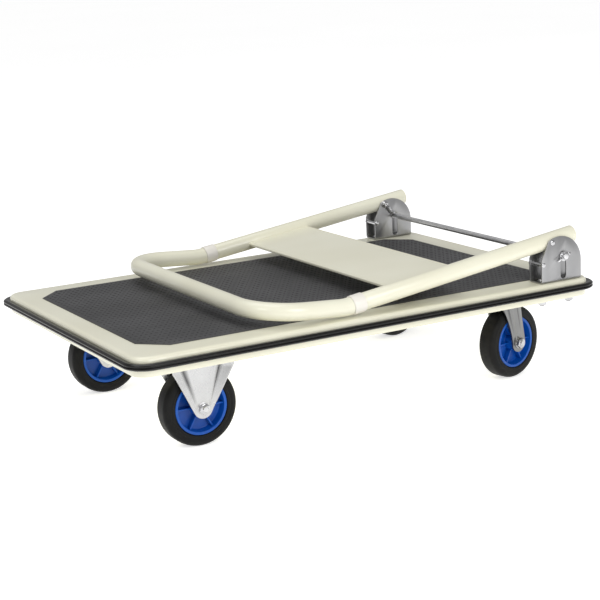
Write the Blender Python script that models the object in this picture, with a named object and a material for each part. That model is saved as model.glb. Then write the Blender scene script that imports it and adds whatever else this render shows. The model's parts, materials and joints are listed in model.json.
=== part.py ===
"""Folding platform cart: pressed deck, four casters and a fold-down push handle.

Metres, +Z up, standing on z = 0 with the deck centred on the origin. The handle end is +X and the
cart is pushed towards -X, so left is -Y and right is +Y. It is modelled with its handle folded down.
"""

import math

import bmesh
import bpy
from mathutils import Matrix, Vector

MM = 0.001
GAP = 0.3 * MM  # left between pieces that touch
HOLE_RADIUS = 4.6 * MM  # for the pivot and bracket bolts
CUT_REACH = 30 * MM  # how far a cutter goes to each side of what it passes through

# Deck
DECK_LENGTH = 910 * MM
DECK_WIDTH = 610 * MM
DECK_TOP = 188 * MM
DECK_CORNER = 40 * MM
SHEET = 2 * MM
SKIRT_BOTTOM = 156 * MM
WALL_INSET = 12 * MM  # from the bumper's outer face to the deck wall
FLANGE_TOP = 177 * MM
FLANGE_THICK = 2.5 * MM
FLANGE_REACH = 8 * MM
BUMPER_BOTTOM = 168.5 * MM
BUMPER_TOP = 180 * MM
CORNER_STEPS = 6

# Anti-slip mat
MAT_FRONT = -405 * MM
MAT_REAR = 390 * MM
MAT_HALF_WIDTH = 245 * MM
MAT_THICK = 1.5 * MM
MAT_CHAMFER = 42 * MM

# Frame under the deck
RAIL_LENGTH = 820 * MM
RAIL_DEPTH = 36 * MM
BEAM_WIDTH = 90 * MM
BEAM_BOTTOM = 161 * MM
FRAME_SHEET = 2.5 * MM

# Casters
CASTER_X = 300 * MM
CASTER_Y = 194 * MM
WHEEL_RADIUS = 66 * MM
WHEEL_WIDTH = 36 * MM
RIM_RADIUS = 47 * MM
HUB_BORE = 9 * MM
BOSS_LENGTH = 40 * MM
AXLE_RADIUS = 5 * MM
WHEEL_STEPS = 24
PLATE_LENGTH = 110 * MM
PLATE_WIDTH = 84 * MM
PLATE_THICK = 2.5 * MM
FORK_SHEET = 3 * MM
FORK_INNER = 43 * MM
LEG_TIP_RADIUS = 17 * MM
FIXED_LEG_TOP = 109 * MM
FIXED_LEG_SHOULDER = 134 * MM
SWIVEL_LEG_FRONT = 12 * MM
SWIVEL_LEG_REAR = 44 * MM
SWIVEL_CROWN_FRONT = 28 * MM
SWIVEL_CROWN_TOP = 150 * MM
TRAIL = 37 * MM
SWIVEL_YAW = math.radians(13)

# Handle brackets
BRACKET_Y = 271 * MM
BRACKET_FRONT = 333 * MM
BRACKET_REAR = 420 * MM
BRACKET_WIDTH = 36 * MM
BRACKET_SHEET = 2.5 * MM
BRACKET_ARC = 47 * MM
BRACKET_TOP = 269.5 * MM
BRACKET_BEND = 230 * MM
BRACKET_SHOULDER = 349 * MM
BASE_BOLT_X = (347 * MM, 406 * MM)
BASE_NUT_HEIGHT = 11 * MM  # with its washer, below the skirt
PIVOT_X = 357 * MM
PIVOT_Z = 259.5 * MM
STOP_X = 337 * MM
STOP_Z = 222 * MM
STOP_RADIUS = 3.5 * MM

# Release bar
BAR_X = 380.5 * MM
BAR_Z = 233 * MM
BAR_RADIUS = 5 * MM
COTTER_RADIUS = 1 * MM
COTTER_LEGS = 17 * MM
COTTER_EYE = 8 * MM
COTTER_SLANT = math.radians(65)  # from the vertical, legs low on the handle side
BAR_TRAVEL = 34 * MM
SLOT_CLEARANCE = 1 * MM
SPRING_RADIUS = 4 * MM

# Handle
TUBE_RADIUS = 15 * MM
TUBE_WALL = 1.8 * MM
TUBE_SIDES = 14
TAIL_LENGTH = 58 * MM
BEND_X = -60 * MM
BEND_Z = 205.2 * MM
BEND_RADIUS = 90 * MM
GRIP_X = -213 * MM
GRIP_Z = 217 * MM
GRIP_CORNER = 80 * MM
COLLAR_X = -36 * MM
COLLAR_LENGTH = 23 * MM
COLLAR_RADIUS = 16.4 * MM
SPIGOT_RADIUS = 12.5 * MM
SPIGOT_LENGTH = 9 * MM
PANEL_FRONT = 45 * MM
PANEL_REAR = 178 * MM
PANEL_HEIGHT = 1 * MM  # of its top face above the arms' centre line
PANEL_LIP = 5 * MM

SIDES = (("left", -1), ("right", 1))
ARM_SLOPE = math.atan2(PIVOT_Z - BEND_Z, PIVOT_X - BEND_X)
AXLE_Z = WHEEL_RADIUS
PLATE_TOP = BEAM_BOTTOM - GAP
PLATE_BOTTOM = PLATE_TOP - PLATE_THICK


def clear_scene():
    for obj in list(bpy.data.objects):
        bpy.data.objects.remove(obj, do_unlink=True)


def make_material(name, colour, roughness, metallic):
    material = bpy.data.materials.new(name)
    material.use_nodes = True
    shader = material.node_tree.nodes["Principled BSDF"]
    shader.inputs["Base Color"].default_value = (*colour, 1)
    shader.inputs["Roughness"].default_value = roughness
    shader.inputs["Metallic"].default_value = metallic
    return material


def make_materials():
    return {
        "cream": make_material("cream_paint", (0.80, 0.78, 0.64), 0.35, 0.0),
        "collar": make_material("pale_plastic", (0.82, 0.80, 0.72), 0.4, 0.0),
        "mat": make_material("grey_mat", (0.05, 0.05, 0.052), 0.7, 0.0),
        "bumper": make_material("bumper_rubber", (0.015, 0.014, 0.014), 0.5, 0.0),
        "zinc": make_material("zinc_plate", (0.55, 0.56, 0.57), 0.35, 1.0),
        "steel": make_material("bright_steel", (0.66, 0.66, 0.67), 0.25, 1.0),
        "tyre": make_material("tyre_rubber", (0.018, 0.018, 0.018), 0.6, 0.0),
        "hub": make_material("blue_hub", (0.01, 0.07, 0.42), 0.35, 0.0),
        "bush": make_material("grey_bush", (0.3, 0.3, 0.3), 0.5, 0.0),
        "plug": make_material("black_plug", (0.02, 0.02, 0.02), 0.5, 0.0),
    }


def add_piece(name, mesh, material, smooth=True):
    """One named piece; a mesh that another piece already uses is shared."""
    if not mesh.materials:
        mesh.materials.append(material)
        if smooth:
            mesh.shade_smooth()
            mesh.set_sharp_from_angle(angle=math.radians(35))
    piece = bpy.data.objects.new(name, mesh)
    bpy.context.scene.collection.objects.link(piece)
    return piece


def add_pivot(name, place, turn=0.0):
    """An empty on a joint's axis."""
    pivot = bpy.data.objects.new(name, None)
    pivot.location = place
    pivot.rotation_euler.z = turn
    bpy.context.scene.collection.objects.link(pivot)
    return pivot


def hang_on(pivot, pieces):
    """Parents pieces to a pivot and leaves them where they are."""
    bpy.context.view_layer.update()
    for piece in pieces:
        piece.parent = pivot
        piece.matrix_parent_inverse = pivot.matrix_world.inverted()


def mesh_of(work, turn=None):
    """Turns a bmesh into a mesh with its faces outward."""
    if turn is not None:
        work.transform(turn)
    bmesh.ops.recalc_face_normals(work, faces=work.faces)
    mesh = bpy.data.meshes.new("shape")
    work.to_mesh(mesh)
    work.free()
    return mesh


def skin_rings(rings, loop):
    """Joins rings of equal length; loop closes the last on the first, otherwise both ends are capped."""
    work = bmesh.new()
    rows = [[work.verts.new(point) for point in ring] for ring in rings]
    pairs = list(zip(rows, rows[1:]))
    if loop:
        pairs.append((rows[-1], rows[0]))
    for one, other in pairs:
        for index in range(len(one)):
            after = (index + 1) % len(one)
            work.faces.new((one[index], one[after], other[after], other[index]))
    if not loop:
        work.faces.new(rows[0])
        work.faces.new(rows[-1])
    return work


def rounded_rectangle(half_x, half_y, radius, z):
    points = []
    for corner, (sx, sy) in enumerate(((1, 1), (-1, 1), (-1, -1), (1, -1))):
        for step in range(CORNER_STEPS + 1):
            angle = math.radians(90) * (corner + step / CORNER_STEPS)
            x = sx * (half_x - radius) + radius * math.cos(angle)
            y = sy * (half_y - radius) + radius * math.sin(angle)
            points.append((x, y, z))
    return points


def turned(profile, steps, hollow):
    """A solid of revolution about Z from (radius, z) points; a hollow one has a bore."""
    rings = []
    for radius, z in profile:
        ring = []
        for step in range(steps):
            angle = math.tau * step / steps
            ring.append((radius * math.sin(angle), -radius * math.cos(angle), z))
        rings.append(ring)
    return skin_rings(rings, loop=hollow)


def prism(outline, low, high):
    """An outline in the XY plane, extruded from z = low to z = high."""
    rings = [[(x, y, z) for x, y in outline] for z in (low, high)]
    return skin_rings(rings, loop=False)


def box_mesh(low, high):
    outline = ((low[0], low[1]), (high[0], low[1]), (high[0], high[1]), (low[0], high[1]))
    return prism(outline, low[2], high[2])


def add_shape(work, other):
    """Adds one bmesh to another, as a further closed body."""
    mesh = mesh_of(other)
    work.from_mesh(mesh)
    bpy.data.meshes.remove(mesh)


def along_y(y=0.0):
    """Turns a shape built about Z so that its Z runs along +Y and its Y along -Z."""
    return Matrix.Translation((0, y, 0)) @ Matrix.Rotation(math.radians(-90), 4, "X")


def carve(piece, cutter_work, operation="DIFFERENCE"):
    """Cuts (or joins) a shape and bakes the result into the piece's own mesh."""
    cutter = bpy.data.objects.new(piece.name + "_cutter", mesh_of(cutter_work))
    cutter.hide_render = True
    cutter.display_type = "WIRE"
    bpy.context.scene.collection.objects.link(cutter)
    modifier = piece.modifiers.new("carve", "BOOLEAN")
    modifier.operation = operation
    modifier.object = cutter
    graph = bpy.context.evaluated_depsgraph_get()
    mesh = bpy.data.meshes.new_from_object(piece.evaluated_get(graph))
    piece.modifiers.remove(modifier)
    piece.data = mesh
    bpy.data.objects.remove(cutter, do_unlink=True)
    mesh.shade_smooth()
    mesh.set_sharp_from_angle(angle=math.radians(35))


def round_bar(radius, low, high, place, steps=16):
    """A plain cylinder along Z, moved to place."""
    work = turned(((radius, low), (radius, high)), steps, hollow=False)
    work.transform(Matrix.Translation(place))
    return work


def filleted_path(corners, radii):
    """A polyline whose inner corners are rounded by arcs, with a step for about every 12 degrees."""
    path = [Vector(corners[0])]
    for before, corner, after, radius in zip(corners, corners[1:], corners[2:], radii):
        corner = Vector(corner)
        inward = (Vector(before) - corner).normalized()
        onward = (Vector(after) - corner).normalized()
        half = inward.angle(onward) / 2
        centre = corner + (inward + onward).normalized() * radius / math.sin(half)
        start = corner + inward * radius / math.tan(half)
        spoke = start - centre
        axis = spoke.cross(-inward).normalized()
        sweep = math.pi - 2 * half
        steps = math.ceil(sweep / math.radians(12)) + 1
        for step in range(steps + 1):
            turn = Matrix.Rotation(sweep * step / steps, 3, axis)
            path.append(centre + turn @ spoke)
    path.append(Vector(corners[-1]))
    return path


def tube_rings(path, radius):
    """Rings round a path that bends about axes close to Y and Z."""
    rings = []
    for index, point in enumerate(path):
        before = path[max(index - 1, 0)]
        after = path[min(index + 1, len(path) - 1)]
        along = (after - before).normalized()
        across = along.cross(Vector((0, 0, 1))).normalized()
        up = across.cross(along)
        ring = []
        for step in range(TUBE_SIDES):
            angle = math.tau * step / TUBE_SIDES
            ring.append(point + radius * (math.cos(angle) * across + math.sin(angle) * up))
        rings.append(ring)
    return rings


def hollow_tube(path):
    outer = tube_rings(path, TUBE_RADIUS)
    inner = tube_rings(path, TUBE_RADIUS - TUBE_WALL)
    return skin_rings(outer + inner[::-1], loop=True)


def on_arm(x, lift=0.0):
    """The point of the arms' centre line above x, raised square to the line by lift."""
    z = PIVOT_Z + (x - PIVOT_X) * math.tan(ARM_SLOPE)
    return x - lift * math.sin(ARM_SLOPE), z + lift * math.cos(ARM_SLOPE)


# ---- deck ----


def deck_ring(inset, z):
    """The deck's outline, inset from its wall."""
    wall = WALL_INSET + inset
    half_x = DECK_LENGTH / 2 - wall
    half_y = DECK_WIDTH / 2 - wall
    return rounded_rectangle(half_x, half_y, DECK_CORNER - wall, z)


def add_deck_pan(materials):
    skirt_inset = 2 * MM
    outside = (
        (8 * MM, DECK_TOP),
        (2.3 * MM, DECK_TOP - 2.3 * MM),
        (0, DECK_TOP - 8 * MM),
        (0, FLANGE_TOP),
        (-FLANGE_REACH, FLANGE_TOP),
        (-FLANGE_REACH, FLANGE_TOP - FLANGE_THICK),
        (skirt_inset, FLANGE_TOP - FLANGE_THICK),
        (skirt_inset, SKIRT_BOTTOM),
    )
    inside = (
        (skirt_inset + SHEET, SKIRT_BOTTOM),
        (skirt_inset + SHEET, DECK_TOP - 9 * MM),
        (9 * MM, DECK_TOP - SHEET),
    )
    rings = [deck_ring(inset, z) for inset, z in outside + inside]
    pan = add_piece("deck_pan", mesh_of(skin_rings(rings, loop=False)), materials["cream"])
    holes = bmesh.new()
    for x in BASE_BOLT_X:
        for _, side in SIDES:
            place = (x, side * BRACKET_Y, DECK_TOP)
            add_shape(holes, round_bar(HOLE_RADIUS, -10 * MM, 10 * MM, place, 12))
    carve(pan, holes)


def add_bumper(materials):
    """A rubber strip with a groove that grips the flange all round the deck."""
    groove_top = FLANGE_TOP + GAP
    groove_bottom = FLANGE_TOP - FLANGE_THICK - GAP
    groove_end = WALL_INSET - FLANGE_REACH - GAP
    middle = (BUMPER_TOP + BUMPER_BOTTOM) / 2
    profile = (
        (WALL_INSET - GAP, BUMPER_TOP - 1.2 * MM),
        (WALL_INSET - GAP, groove_top),
        (groove_end, groove_top),
        (groove_end, groove_bottom),
        (WALL_INSET - GAP, groove_bottom),
        (WALL_INSET - GAP, BUMPER_BOTTOM + 1 * MM),
        (4 * MM, BUMPER_BOTTOM),
        (1 * MM, BUMPER_BOTTOM + 2 * MM),
        (0, middle),
        (1 * MM, BUMPER_TOP - 2 * MM),
        (4 * MM, BUMPER_TOP),
    )
    rings = []
    for inset, z in profile:
        half_x = DECK_LENGTH / 2 - inset
        half_y = DECK_WIDTH / 2 - inset
        rings.append(rounded_rectangle(half_x, half_y, DECK_CORNER - inset, z))
    add_piece("bumper_strip", mesh_of(skin_rings(rings, loop=True)), materials["bumper"])


def add_mat(materials):
    cut = MAT_CHAMFER
    wide = MAT_HALF_WIDTH
    outline = (
        (MAT_FRONT + cut, -wide),
        (MAT_REAR - cut, -wide),
        (MAT_REAR, -wide + cut),
        (MAT_REAR, wide - cut),
        (MAT_REAR - cut, wide),
        (MAT_FRONT + cut, wide),
        (MAT_FRONT, wide - cut),
        (MAT_FRONT, -wide + cut),
    )
    low = DECK_TOP + GAP
    work = prism(outline, low, DECK_TOP + MAT_THICK)
    add_piece("anti_slip_mat", mesh_of(work), materials["mat"], smooth=False)


def add_side_rails(materials):
    """Channels along both long sides, open towards the middle of the cart."""
    outer = DECK_WIDTH / 2 - WALL_INSET - 2 * MM - SHEET - GAP
    inner = outer - RAIL_DEPTH
    top = DECK_TOP - SHEET - GAP
    bottom = SKIRT_BOTTOM + GAP
    for name, side in SIDES:
        outline = (
            (inner, bottom),
            (outer, bottom),
            (outer, top - 8 * MM),
            (outer - 6 * MM, top),
            (inner, top),
            (inner, top - FRAME_SHEET),
            (outer - 7 * MM, top - FRAME_SHEET),
            (outer - FRAME_SHEET, top - 9 * MM),
            (outer - FRAME_SHEET, bottom + FRAME_SHEET),
            (inner, bottom + FRAME_SHEET),
        )
        ends = (-RAIL_LENGTH / 2, RAIL_LENGTH / 2)
        rings = [[(x, side * y, z) for y, z in outline] for x in ends]
        rail = add_piece("side_rail_" + name, mesh_of(skin_rings(rings, False)), materials["cream"])
        holes = bmesh.new()
        for x in BASE_BOLT_X:
            place = (x, side * BRACKET_Y, SKIRT_BOTTOM)
            add_shape(holes, round_bar(HOLE_RADIUS, -5 * MM, 40 * MM, place, 12))
        carve(rail, holes)


def add_cross_beams(materials):
    """Channels across the cart that carry the casters, open at the top against the deck."""
    half = BEAM_WIDTH / 2
    top = DECK_TOP - SHEET - GAP
    reach = DECK_WIDTH / 2 - WALL_INSET - 2 * MM - SHEET - 2 * GAP - RAIL_DEPTH
    outline = (
        (-half, BEAM_BOTTOM),
        (half, BEAM_BOTTOM),
        (half, top),
        (half - FRAME_SHEET, top),
        (half - FRAME_SHEET, BEAM_BOTTOM + FRAME_SHEET),
        (-half + FRAME_SHEET, BEAM_BOTTOM + FRAME_SHEET),
        (-half + FRAME_SHEET, top),
        (-half, top),
    )
    for name, x in (("front", -CASTER_X), ("rear", CASTER_X)):
        rings = [[(x + offset, y, z) for offset, z in outline] for y in (-reach, reach)]
        mesh = mesh_of(skin_rings(rings, loop=False))
        add_piece("cross_beam_" + name, mesh, materials["cream"], smooth=False)


# ---- casters ----


def wheel_meshes():
    """The tyre, hub and bush, turned about Z, so that Z becomes the axle."""
    half = WHEEL_WIDTH / 2
    seat = RIM_RADIUS - 3 * MM
    crown = WHEEL_RADIUS
    tyre_profile = (
        (seat + GAP, 13 * MM),
        (seat + GAP, -13 * MM),
        (RIM_RADIUS + 1 * MM, -half),
        (crown - 9 * MM, -half),
        (crown - 3 * MM, -half + 5 * MM),
        (crown, -half + 12 * MM),
        (crown, half - 12 * MM),
        (crown - 3 * MM, half - 5 * MM),
        (crown - 9 * MM, half),
        (RIM_RADIUS + 1 * MM, half),
    )
    tyre = mesh_of(turned(tyre_profile, WHEEL_STEPS, hollow=True), along_y())
    boss = BOSS_LENGTH / 2
    boss_radius = 15 * MM
    web = 2 * MM
    rim_inner = seat - 3 * MM
    rim_half = 14 * MM
    hub_profile = (
        (HUB_BORE, boss),
        (HUB_BORE, -boss),
        (boss_radius, -boss),
        (boss_radius + 1 * MM, -web),
        (rim_inner, -web),
        (rim_inner, -rim_half),
        (seat, -12 * MM),
        (seat, 12 * MM),
        (rim_inner, rim_half),
        (rim_inner, web),
        (boss_radius + 1 * MM, web),
        (boss_radius, boss),
    )
    hub = mesh_of(turned(hub_profile, WHEEL_STEPS, hollow=True), along_y())
    bush_profile = (
        (HUB_BORE - GAP, boss),
        (HUB_BORE - GAP, -boss),
        (AXLE_RADIUS + 0.5 * MM, -boss),
        (AXLE_RADIUS + 0.5 * MM, boss),
    )
    bush = mesh_of(turned(bush_profile, 14, hollow=True), along_y())
    return tyre, hub, bush


def add_hub_ribs(hub):
    """Six ribs on both sides of the hub's web, from its boss out to the rim."""
    ribs = bmesh.new()
    for step in range(6):
        rib = box_mesh((14 * MM, -1.2 * MM, -11 * MM), (RIM_RADIUS - 5 * MM, 1.2 * MM, 11 * MM))
        rib.transform(along_y() @ Matrix.Rotation(math.tau * (step + 0.5) / 6, 4, "Z"))
        add_shape(ribs, rib)
    carve(hub, ribs, "UNION")


def axle_meshes():
    """The axle bolt with its hexagon head at -Y, and its nut at +Y, both about the axle's middle."""
    reach = FORK_INNER / 2 + FORK_SHEET
    head = 6 * MM
    bolt_work = turned(((AXLE_RADIUS, -reach - GAP), (AXLE_RADIUS, reach + 11 * MM)), 12, False)
    bolt = mesh_of(bolt_work, along_y())
    head_work = turned(((9.5 * MM, -reach - head), (9.5 * MM, -reach - GAP)), 6, False)
    nut_inner = (AXLE_RADIUS + GAP) / math.cos(math.radians(30))
    nut_profile = (
        (9.5 * MM, reach + 8 * MM),
        (9.5 * MM, reach + GAP),
        (nut_inner, reach + GAP),
        (nut_inner, reach + 8 * MM),
    )
    nut_work = turned(nut_profile, 6, hollow=True)
    return bolt, head_work, mesh_of(nut_work, along_y())


def leg_outline(axle_x, top_low, top_high, shoulder_z, top_z):
    """A fork leg seen from the side, as (x, z): a wide top, upright above its shoulders,
    tapering below them to a round tip about the axle."""
    axle = Vector((axle_x, AXLE_Z))
    shoulders = (Vector((top_low, shoulder_z)), Vector((top_high, shoulder_z)))
    outline = []
    if shoulder_z < top_z:
        outline += [tuple(shoulders[1]), (top_high, top_z), (top_low, top_z)]
    else:
        outline.append(tuple(shoulders[1]))
    outline.append(tuple(shoulders[0]))
    turns = []
    for corner, sign in zip(shoulders, (-1, 1)):
        away = corner - axle
        spread = math.acos(LEG_TIP_RADIUS / away.length)
        turns.append(math.atan2(away.y, away.x) - sign * spread)
    start, end = turns
    while end < start:
        end += math.tau
    steps = 8
    for step in range(steps + 1):
        angle = start + (end - start) * step / steps
        point = axle + LEG_TIP_RADIUS * Vector((math.cos(angle), math.sin(angle)))
        outline.append((point.x, point.y))
    return outline


def fork_work(outline, plate_low, plate_high, top_z):
    """Two legs and the plate that joins them, as overlapping closed shapes."""
    inner = FORK_INNER / 2
    legs = []
    for low, high in ((-inner - FORK_SHEET, -inner), (inner, inner + FORK_SHEET)):
        legs.append(skin_rings([[(x, y, z) for x, z in outline] for y in (low, high)], False))
    return legs, box_mesh((*plate_low, top_z - PLATE_THICK), (*plate_high, top_z))


def axle_holes(axle_x):
    holes = turned(((AXLE_RADIUS + GAP, -60 * MM), (AXLE_RADIUS + GAP, 60 * MM)), 12, False)
    holes.transform(Matrix.Translation((axle_x, 0, AXLE_Z)) @ along_y())
    return holes


def add_fork(name, outline, plate_low, plate_high, top_z, axle_x, materials):
    legs, plate = fork_work(outline, plate_low, plate_high, top_z)
    fork = add_piece(name, mesh_of(plate), materials["zinc"])
    for leg in legs:
        carve(fork, leg, "UNION")
    carve(fork, axle_holes(axle_x))
    return fork


def add_wheel(corner, place, turn, meshes, materials):
    """A tyre, hub and bush on an empty at the axle's middle."""
    pivot = add_pivot(corner + "_wheel_axle", place, turn)
    for kind, material in (("tyre", "tyre"), ("hub", "hub"), ("bush", "bush")):
        piece = add_piece(f"{corner}_{kind}", meshes[kind], materials[material])
        piece.parent = pivot


def add_axle(corner, meshes, materials):
    bolt = add_piece(corner + "_axle_bolt", meshes["bolt"], materials["steel"])
    nut = add_piece(corner + "_axle_nut", meshes["nut"], materials["steel"])
    return [bolt, nut]


def caster_meshes(materials):
    tyre, hub_mesh, bush = wheel_meshes()
    hub = add_piece("hub_pattern", hub_mesh, materials["hub"])
    add_hub_ribs(hub)
    bolt_mesh, head, nut = axle_meshes()
    bolt = add_piece("bolt_pattern", bolt_mesh, materials["steel"])
    head.transform(along_y())
    carve(bolt, head, "UNION")
    meshes = {"tyre": tyre, "hub": hub.data, "bush": bush, "bolt": bolt.data, "nut": nut}
    for pattern in (hub, bolt):
        bpy.data.objects.remove(pattern, do_unlink=True)
    return meshes


def add_fixed_casters(meshes, materials):
    half = FIXED_LEG_TOP / 2
    outline = leg_outline(0, -half, half, FIXED_LEG_SHOULDER, PLATE_TOP)
    plate_low = (-PLATE_LENGTH / 2, -PLATE_WIDTH / 2)
    plate_high = (PLATE_LENGTH / 2, PLATE_WIDTH / 2)
    for name, side in SIDES:
        place = Vector((-CASTER_X, side * CASTER_Y, 0))
        fork = add_fork(
            "fixed_fork_" + name, outline, plate_low, plate_high, PLATE_TOP, 0, materials
        )
        fork.location = place
        axle_place = place + Vector((0, 0, AXLE_Z))
        for piece in add_axle("front_" + name, meshes, materials):
            piece.location = axle_place
        add_wheel("front_" + name, axle_place, 0, meshes, materials)


def swivel_plate_work():
    """The mounting plate with its bearing cup and the riveted king pin, about the pin's axis."""
    race_radius = 24 * MM
    pin_radius = 6 * MM
    crown_bottom = SWIVEL_CROWN_TOP - PLATE_THICK
    low = crown_bottom - GAP - 4 * MM
    cup_bottom = SWIVEL_CROWN_TOP + GAP
    pin_profile = (
        (10 * MM, low),
        (10 * MM, crown_bottom - GAP),
        (pin_radius, crown_bottom - GAP),
        (pin_radius, cup_bottom),
        (race_radius, cup_bottom),
        (race_radius + 3 * MM, PLATE_TOP - 1 * MM),
    )
    return turned(pin_profile, 20, hollow=False)


def add_swivel_casters(meshes, materials):
    outline = leg_outline(
        TRAIL, -SWIVEL_LEG_FRONT, SWIVEL_LEG_REAR, SWIVEL_CROWN_TOP, SWIVEL_CROWN_TOP
    )
    crown_low = (-SWIVEL_CROWN_FRONT, -FORK_INNER / 2 - 1 * MM)
    crown_high = (SWIVEL_LEG_REAR, FORK_INNER / 2 + 1 * MM)
    for name, side in SIDES:
        place = Vector((CASTER_X, side * CASTER_Y, 0))
        plate_work = box_mesh(
            (-PLATE_LENGTH / 2, -PLATE_WIDTH / 2, PLATE_BOTTOM),
            (PLATE_LENGTH / 2, PLATE_WIDTH / 2, PLATE_TOP),
        )
        plate = add_piece("swivel_plate_" + name, mesh_of(plate_work), materials["zinc"])
        carve(plate, swivel_plate_work(), "UNION")
        plate.location = place
        fork = add_fork(
            "swivel_fork_" + name,
            outline,
            crown_low,
            crown_high,
            SWIVEL_CROWN_TOP,
            TRAIL,
            materials,
        )
        carve(fork, round_bar(6.6 * MM, -10 * MM, 10 * MM, (0, 0, SWIVEL_CROWN_TOP), 20))
        swivel = add_pivot("swivel_axis_" + name, place, SWIVEL_YAW)
        fork.parent = swivel
        for piece in add_axle("rear_" + name, meshes, materials):
            piece.parent = swivel
            piece.location = (TRAIL, 0, AXLE_Z)
        turn = Matrix.Rotation(SWIVEL_YAW, 3, "Z")
        axle_place = place + turn @ Vector((TRAIL, 0, AXLE_Z))
        add_wheel("rear_" + name, axle_place, SWIVEL_YAW, meshes, materials)


# ---- handle brackets ----


def bracket_outline():
    """A bracket cheek seen from the side, as (x, z): straight front, slanted shoulder, round back."""
    base = DECK_TOP + GAP
    centre = Vector((BRACKET_REAR - BRACKET_ARC, BRACKET_TOP - BRACKET_ARC))
    outline = [(BRACKET_FRONT, BRACKET_BEND), (BRACKET_FRONT, base), (BRACKET_REAR, base)]
    end = math.acos((BRACKET_SHOULDER - centre.x) / BRACKET_ARC)
    steps = 10
    for step in range(steps + 1):
        angle = end * step / steps
        outline.append((
            centre.x + BRACKET_ARC * math.cos(angle),
            centre.y + BRACKET_ARC * math.sin(angle),
        ))
    return outline


def slot_outline(half_width):
    """The release bar's slot as (x, z), with round ends."""
    outline = []
    for centre_z, start in ((BAR_Z, 0), (BAR_Z - BAR_TRAVEL, math.pi)):
        for step in range(7):
            angle = start + math.pi * step / 6
            x = BAR_X + half_width * math.cos(angle)
            outline.append((x, centre_z + half_width * math.sin(angle)))
    return outline


def cross_bar(radius, x, z, half_length, steps=14):
    """A cylinder along Y through (x, z), centred on y = 0."""
    work = turned(((radius, -half_length), (radius, half_length)), steps, hollow=False)
    work.transform(Matrix.Translation((x, 0, z)) @ along_y())
    return work


def add_brackets(materials):
    """Two pressed channels that hold the handle's arms between their cheeks."""
    half = BRACKET_WIDTH / 2
    inner = half - BRACKET_SHEET
    for name, side in SIDES:
        outline = bracket_outline()
        rings = [[(x, y, z) for x, z in outline] for y in (-half, half)]
        bracket = add_piece("bracket_" + name, mesh_of(skin_rings(rings, False)), materials["zinc"])
        floor = DECK_TOP + GAP + BRACKET_SHEET
        channel_low = (BRACKET_FRONT - CUT_REACH, -inner, floor)
        channel_high = (BRACKET_REAR + CUT_REACH, inner, BRACKET_TOP + CUT_REACH)
        carve(bracket, box_mesh(channel_low, channel_high))
        slot = slot_outline(BAR_RADIUS + SLOT_CLEARANCE)
        cuts = skin_rings([[(x, y, z) for x, z in slot] for y in (-CUT_REACH, CUT_REACH)], False)
        add_shape(cuts, cross_bar(HOLE_RADIUS, PIVOT_X, PIVOT_Z, CUT_REACH))
        add_shape(cuts, cross_bar(STOP_RADIUS + 0.4 * MM, STOP_X, STOP_Z, CUT_REACH))
        for x in BASE_BOLT_X:
            add_shape(cuts, round_bar(HOLE_RADIUS, -5 * MM, 5 * MM, (x, 0, floor), 12))
        carve(bracket, cuts)
        bracket.location.y = side * BRACKET_Y


def pin_profile(radius, low, high, head_radius, low_head, high_head):
    """A pin along Z with a round or hexagon head beyond each end."""
    return (
        (head_radius, low - low_head),
        (head_radius, low),
        (radius, low),
        (radius, high),
        (head_radius, high),
        (head_radius, high + high_head),
    )


def add_bracket_pins(materials):
    half = BRACKET_WIDTH / 2 + GAP
    for name, side in SIDES:
        profile = pin_profile(STOP_RADIUS, -half, half, 5 * MM, 1.5 * MM, 1.5 * MM)
        stop = mesh_of(turned(profile, 12, hollow=False), along_y())
        piece = add_piece("stop_pin_" + name, stop, materials["steel"])
        piece.location = (STOP_X, side * BRACKET_Y, STOP_Z)
        bolt = turned(pin_profile(4 * MM, -half, half, 6.5 * MM, 5 * MM, 4 * MM), 12, False)
        turn = along_y()
        if side > 0:
            turn = Matrix.Rotation(math.pi, 4, "Z") @ turn
        piece = add_piece("pivot_bolt_" + name, mesh_of(bolt, turn), materials["steel"])
        piece.location = (PIVOT_X, side * BRACKET_Y, PIVOT_Z)


def add_base_bolts(materials):
    """Bolts through each bracket, the deck and the side rail, with their nuts below."""
    head_low = DECK_TOP + BRACKET_SHEET + 2 * GAP
    nut_high = SKIRT_BOTTOM
    profile = (
        (7.5 * MM, nut_high - BASE_NUT_HEIGHT),
        (7.5 * MM, nut_high),
        (4 * MM, nut_high),
        (4 * MM, head_low),
        (8 * MM, head_low),
        (6.5 * MM, head_low + 3 * MM),
        (3 * MM, head_low + 4.5 * MM),
    )
    mesh = mesh_of(turned(profile, 12, hollow=False))
    for name, side in SIDES:
        for end, x in zip(("front", "rear"), BASE_BOLT_X):
            bolt = add_piece(f"bracket_bolt_{name}_{end}", mesh, materials["steel"])
            bolt.location = (x, side * BRACKET_Y, 0)


# ---- release bar ----


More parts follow.
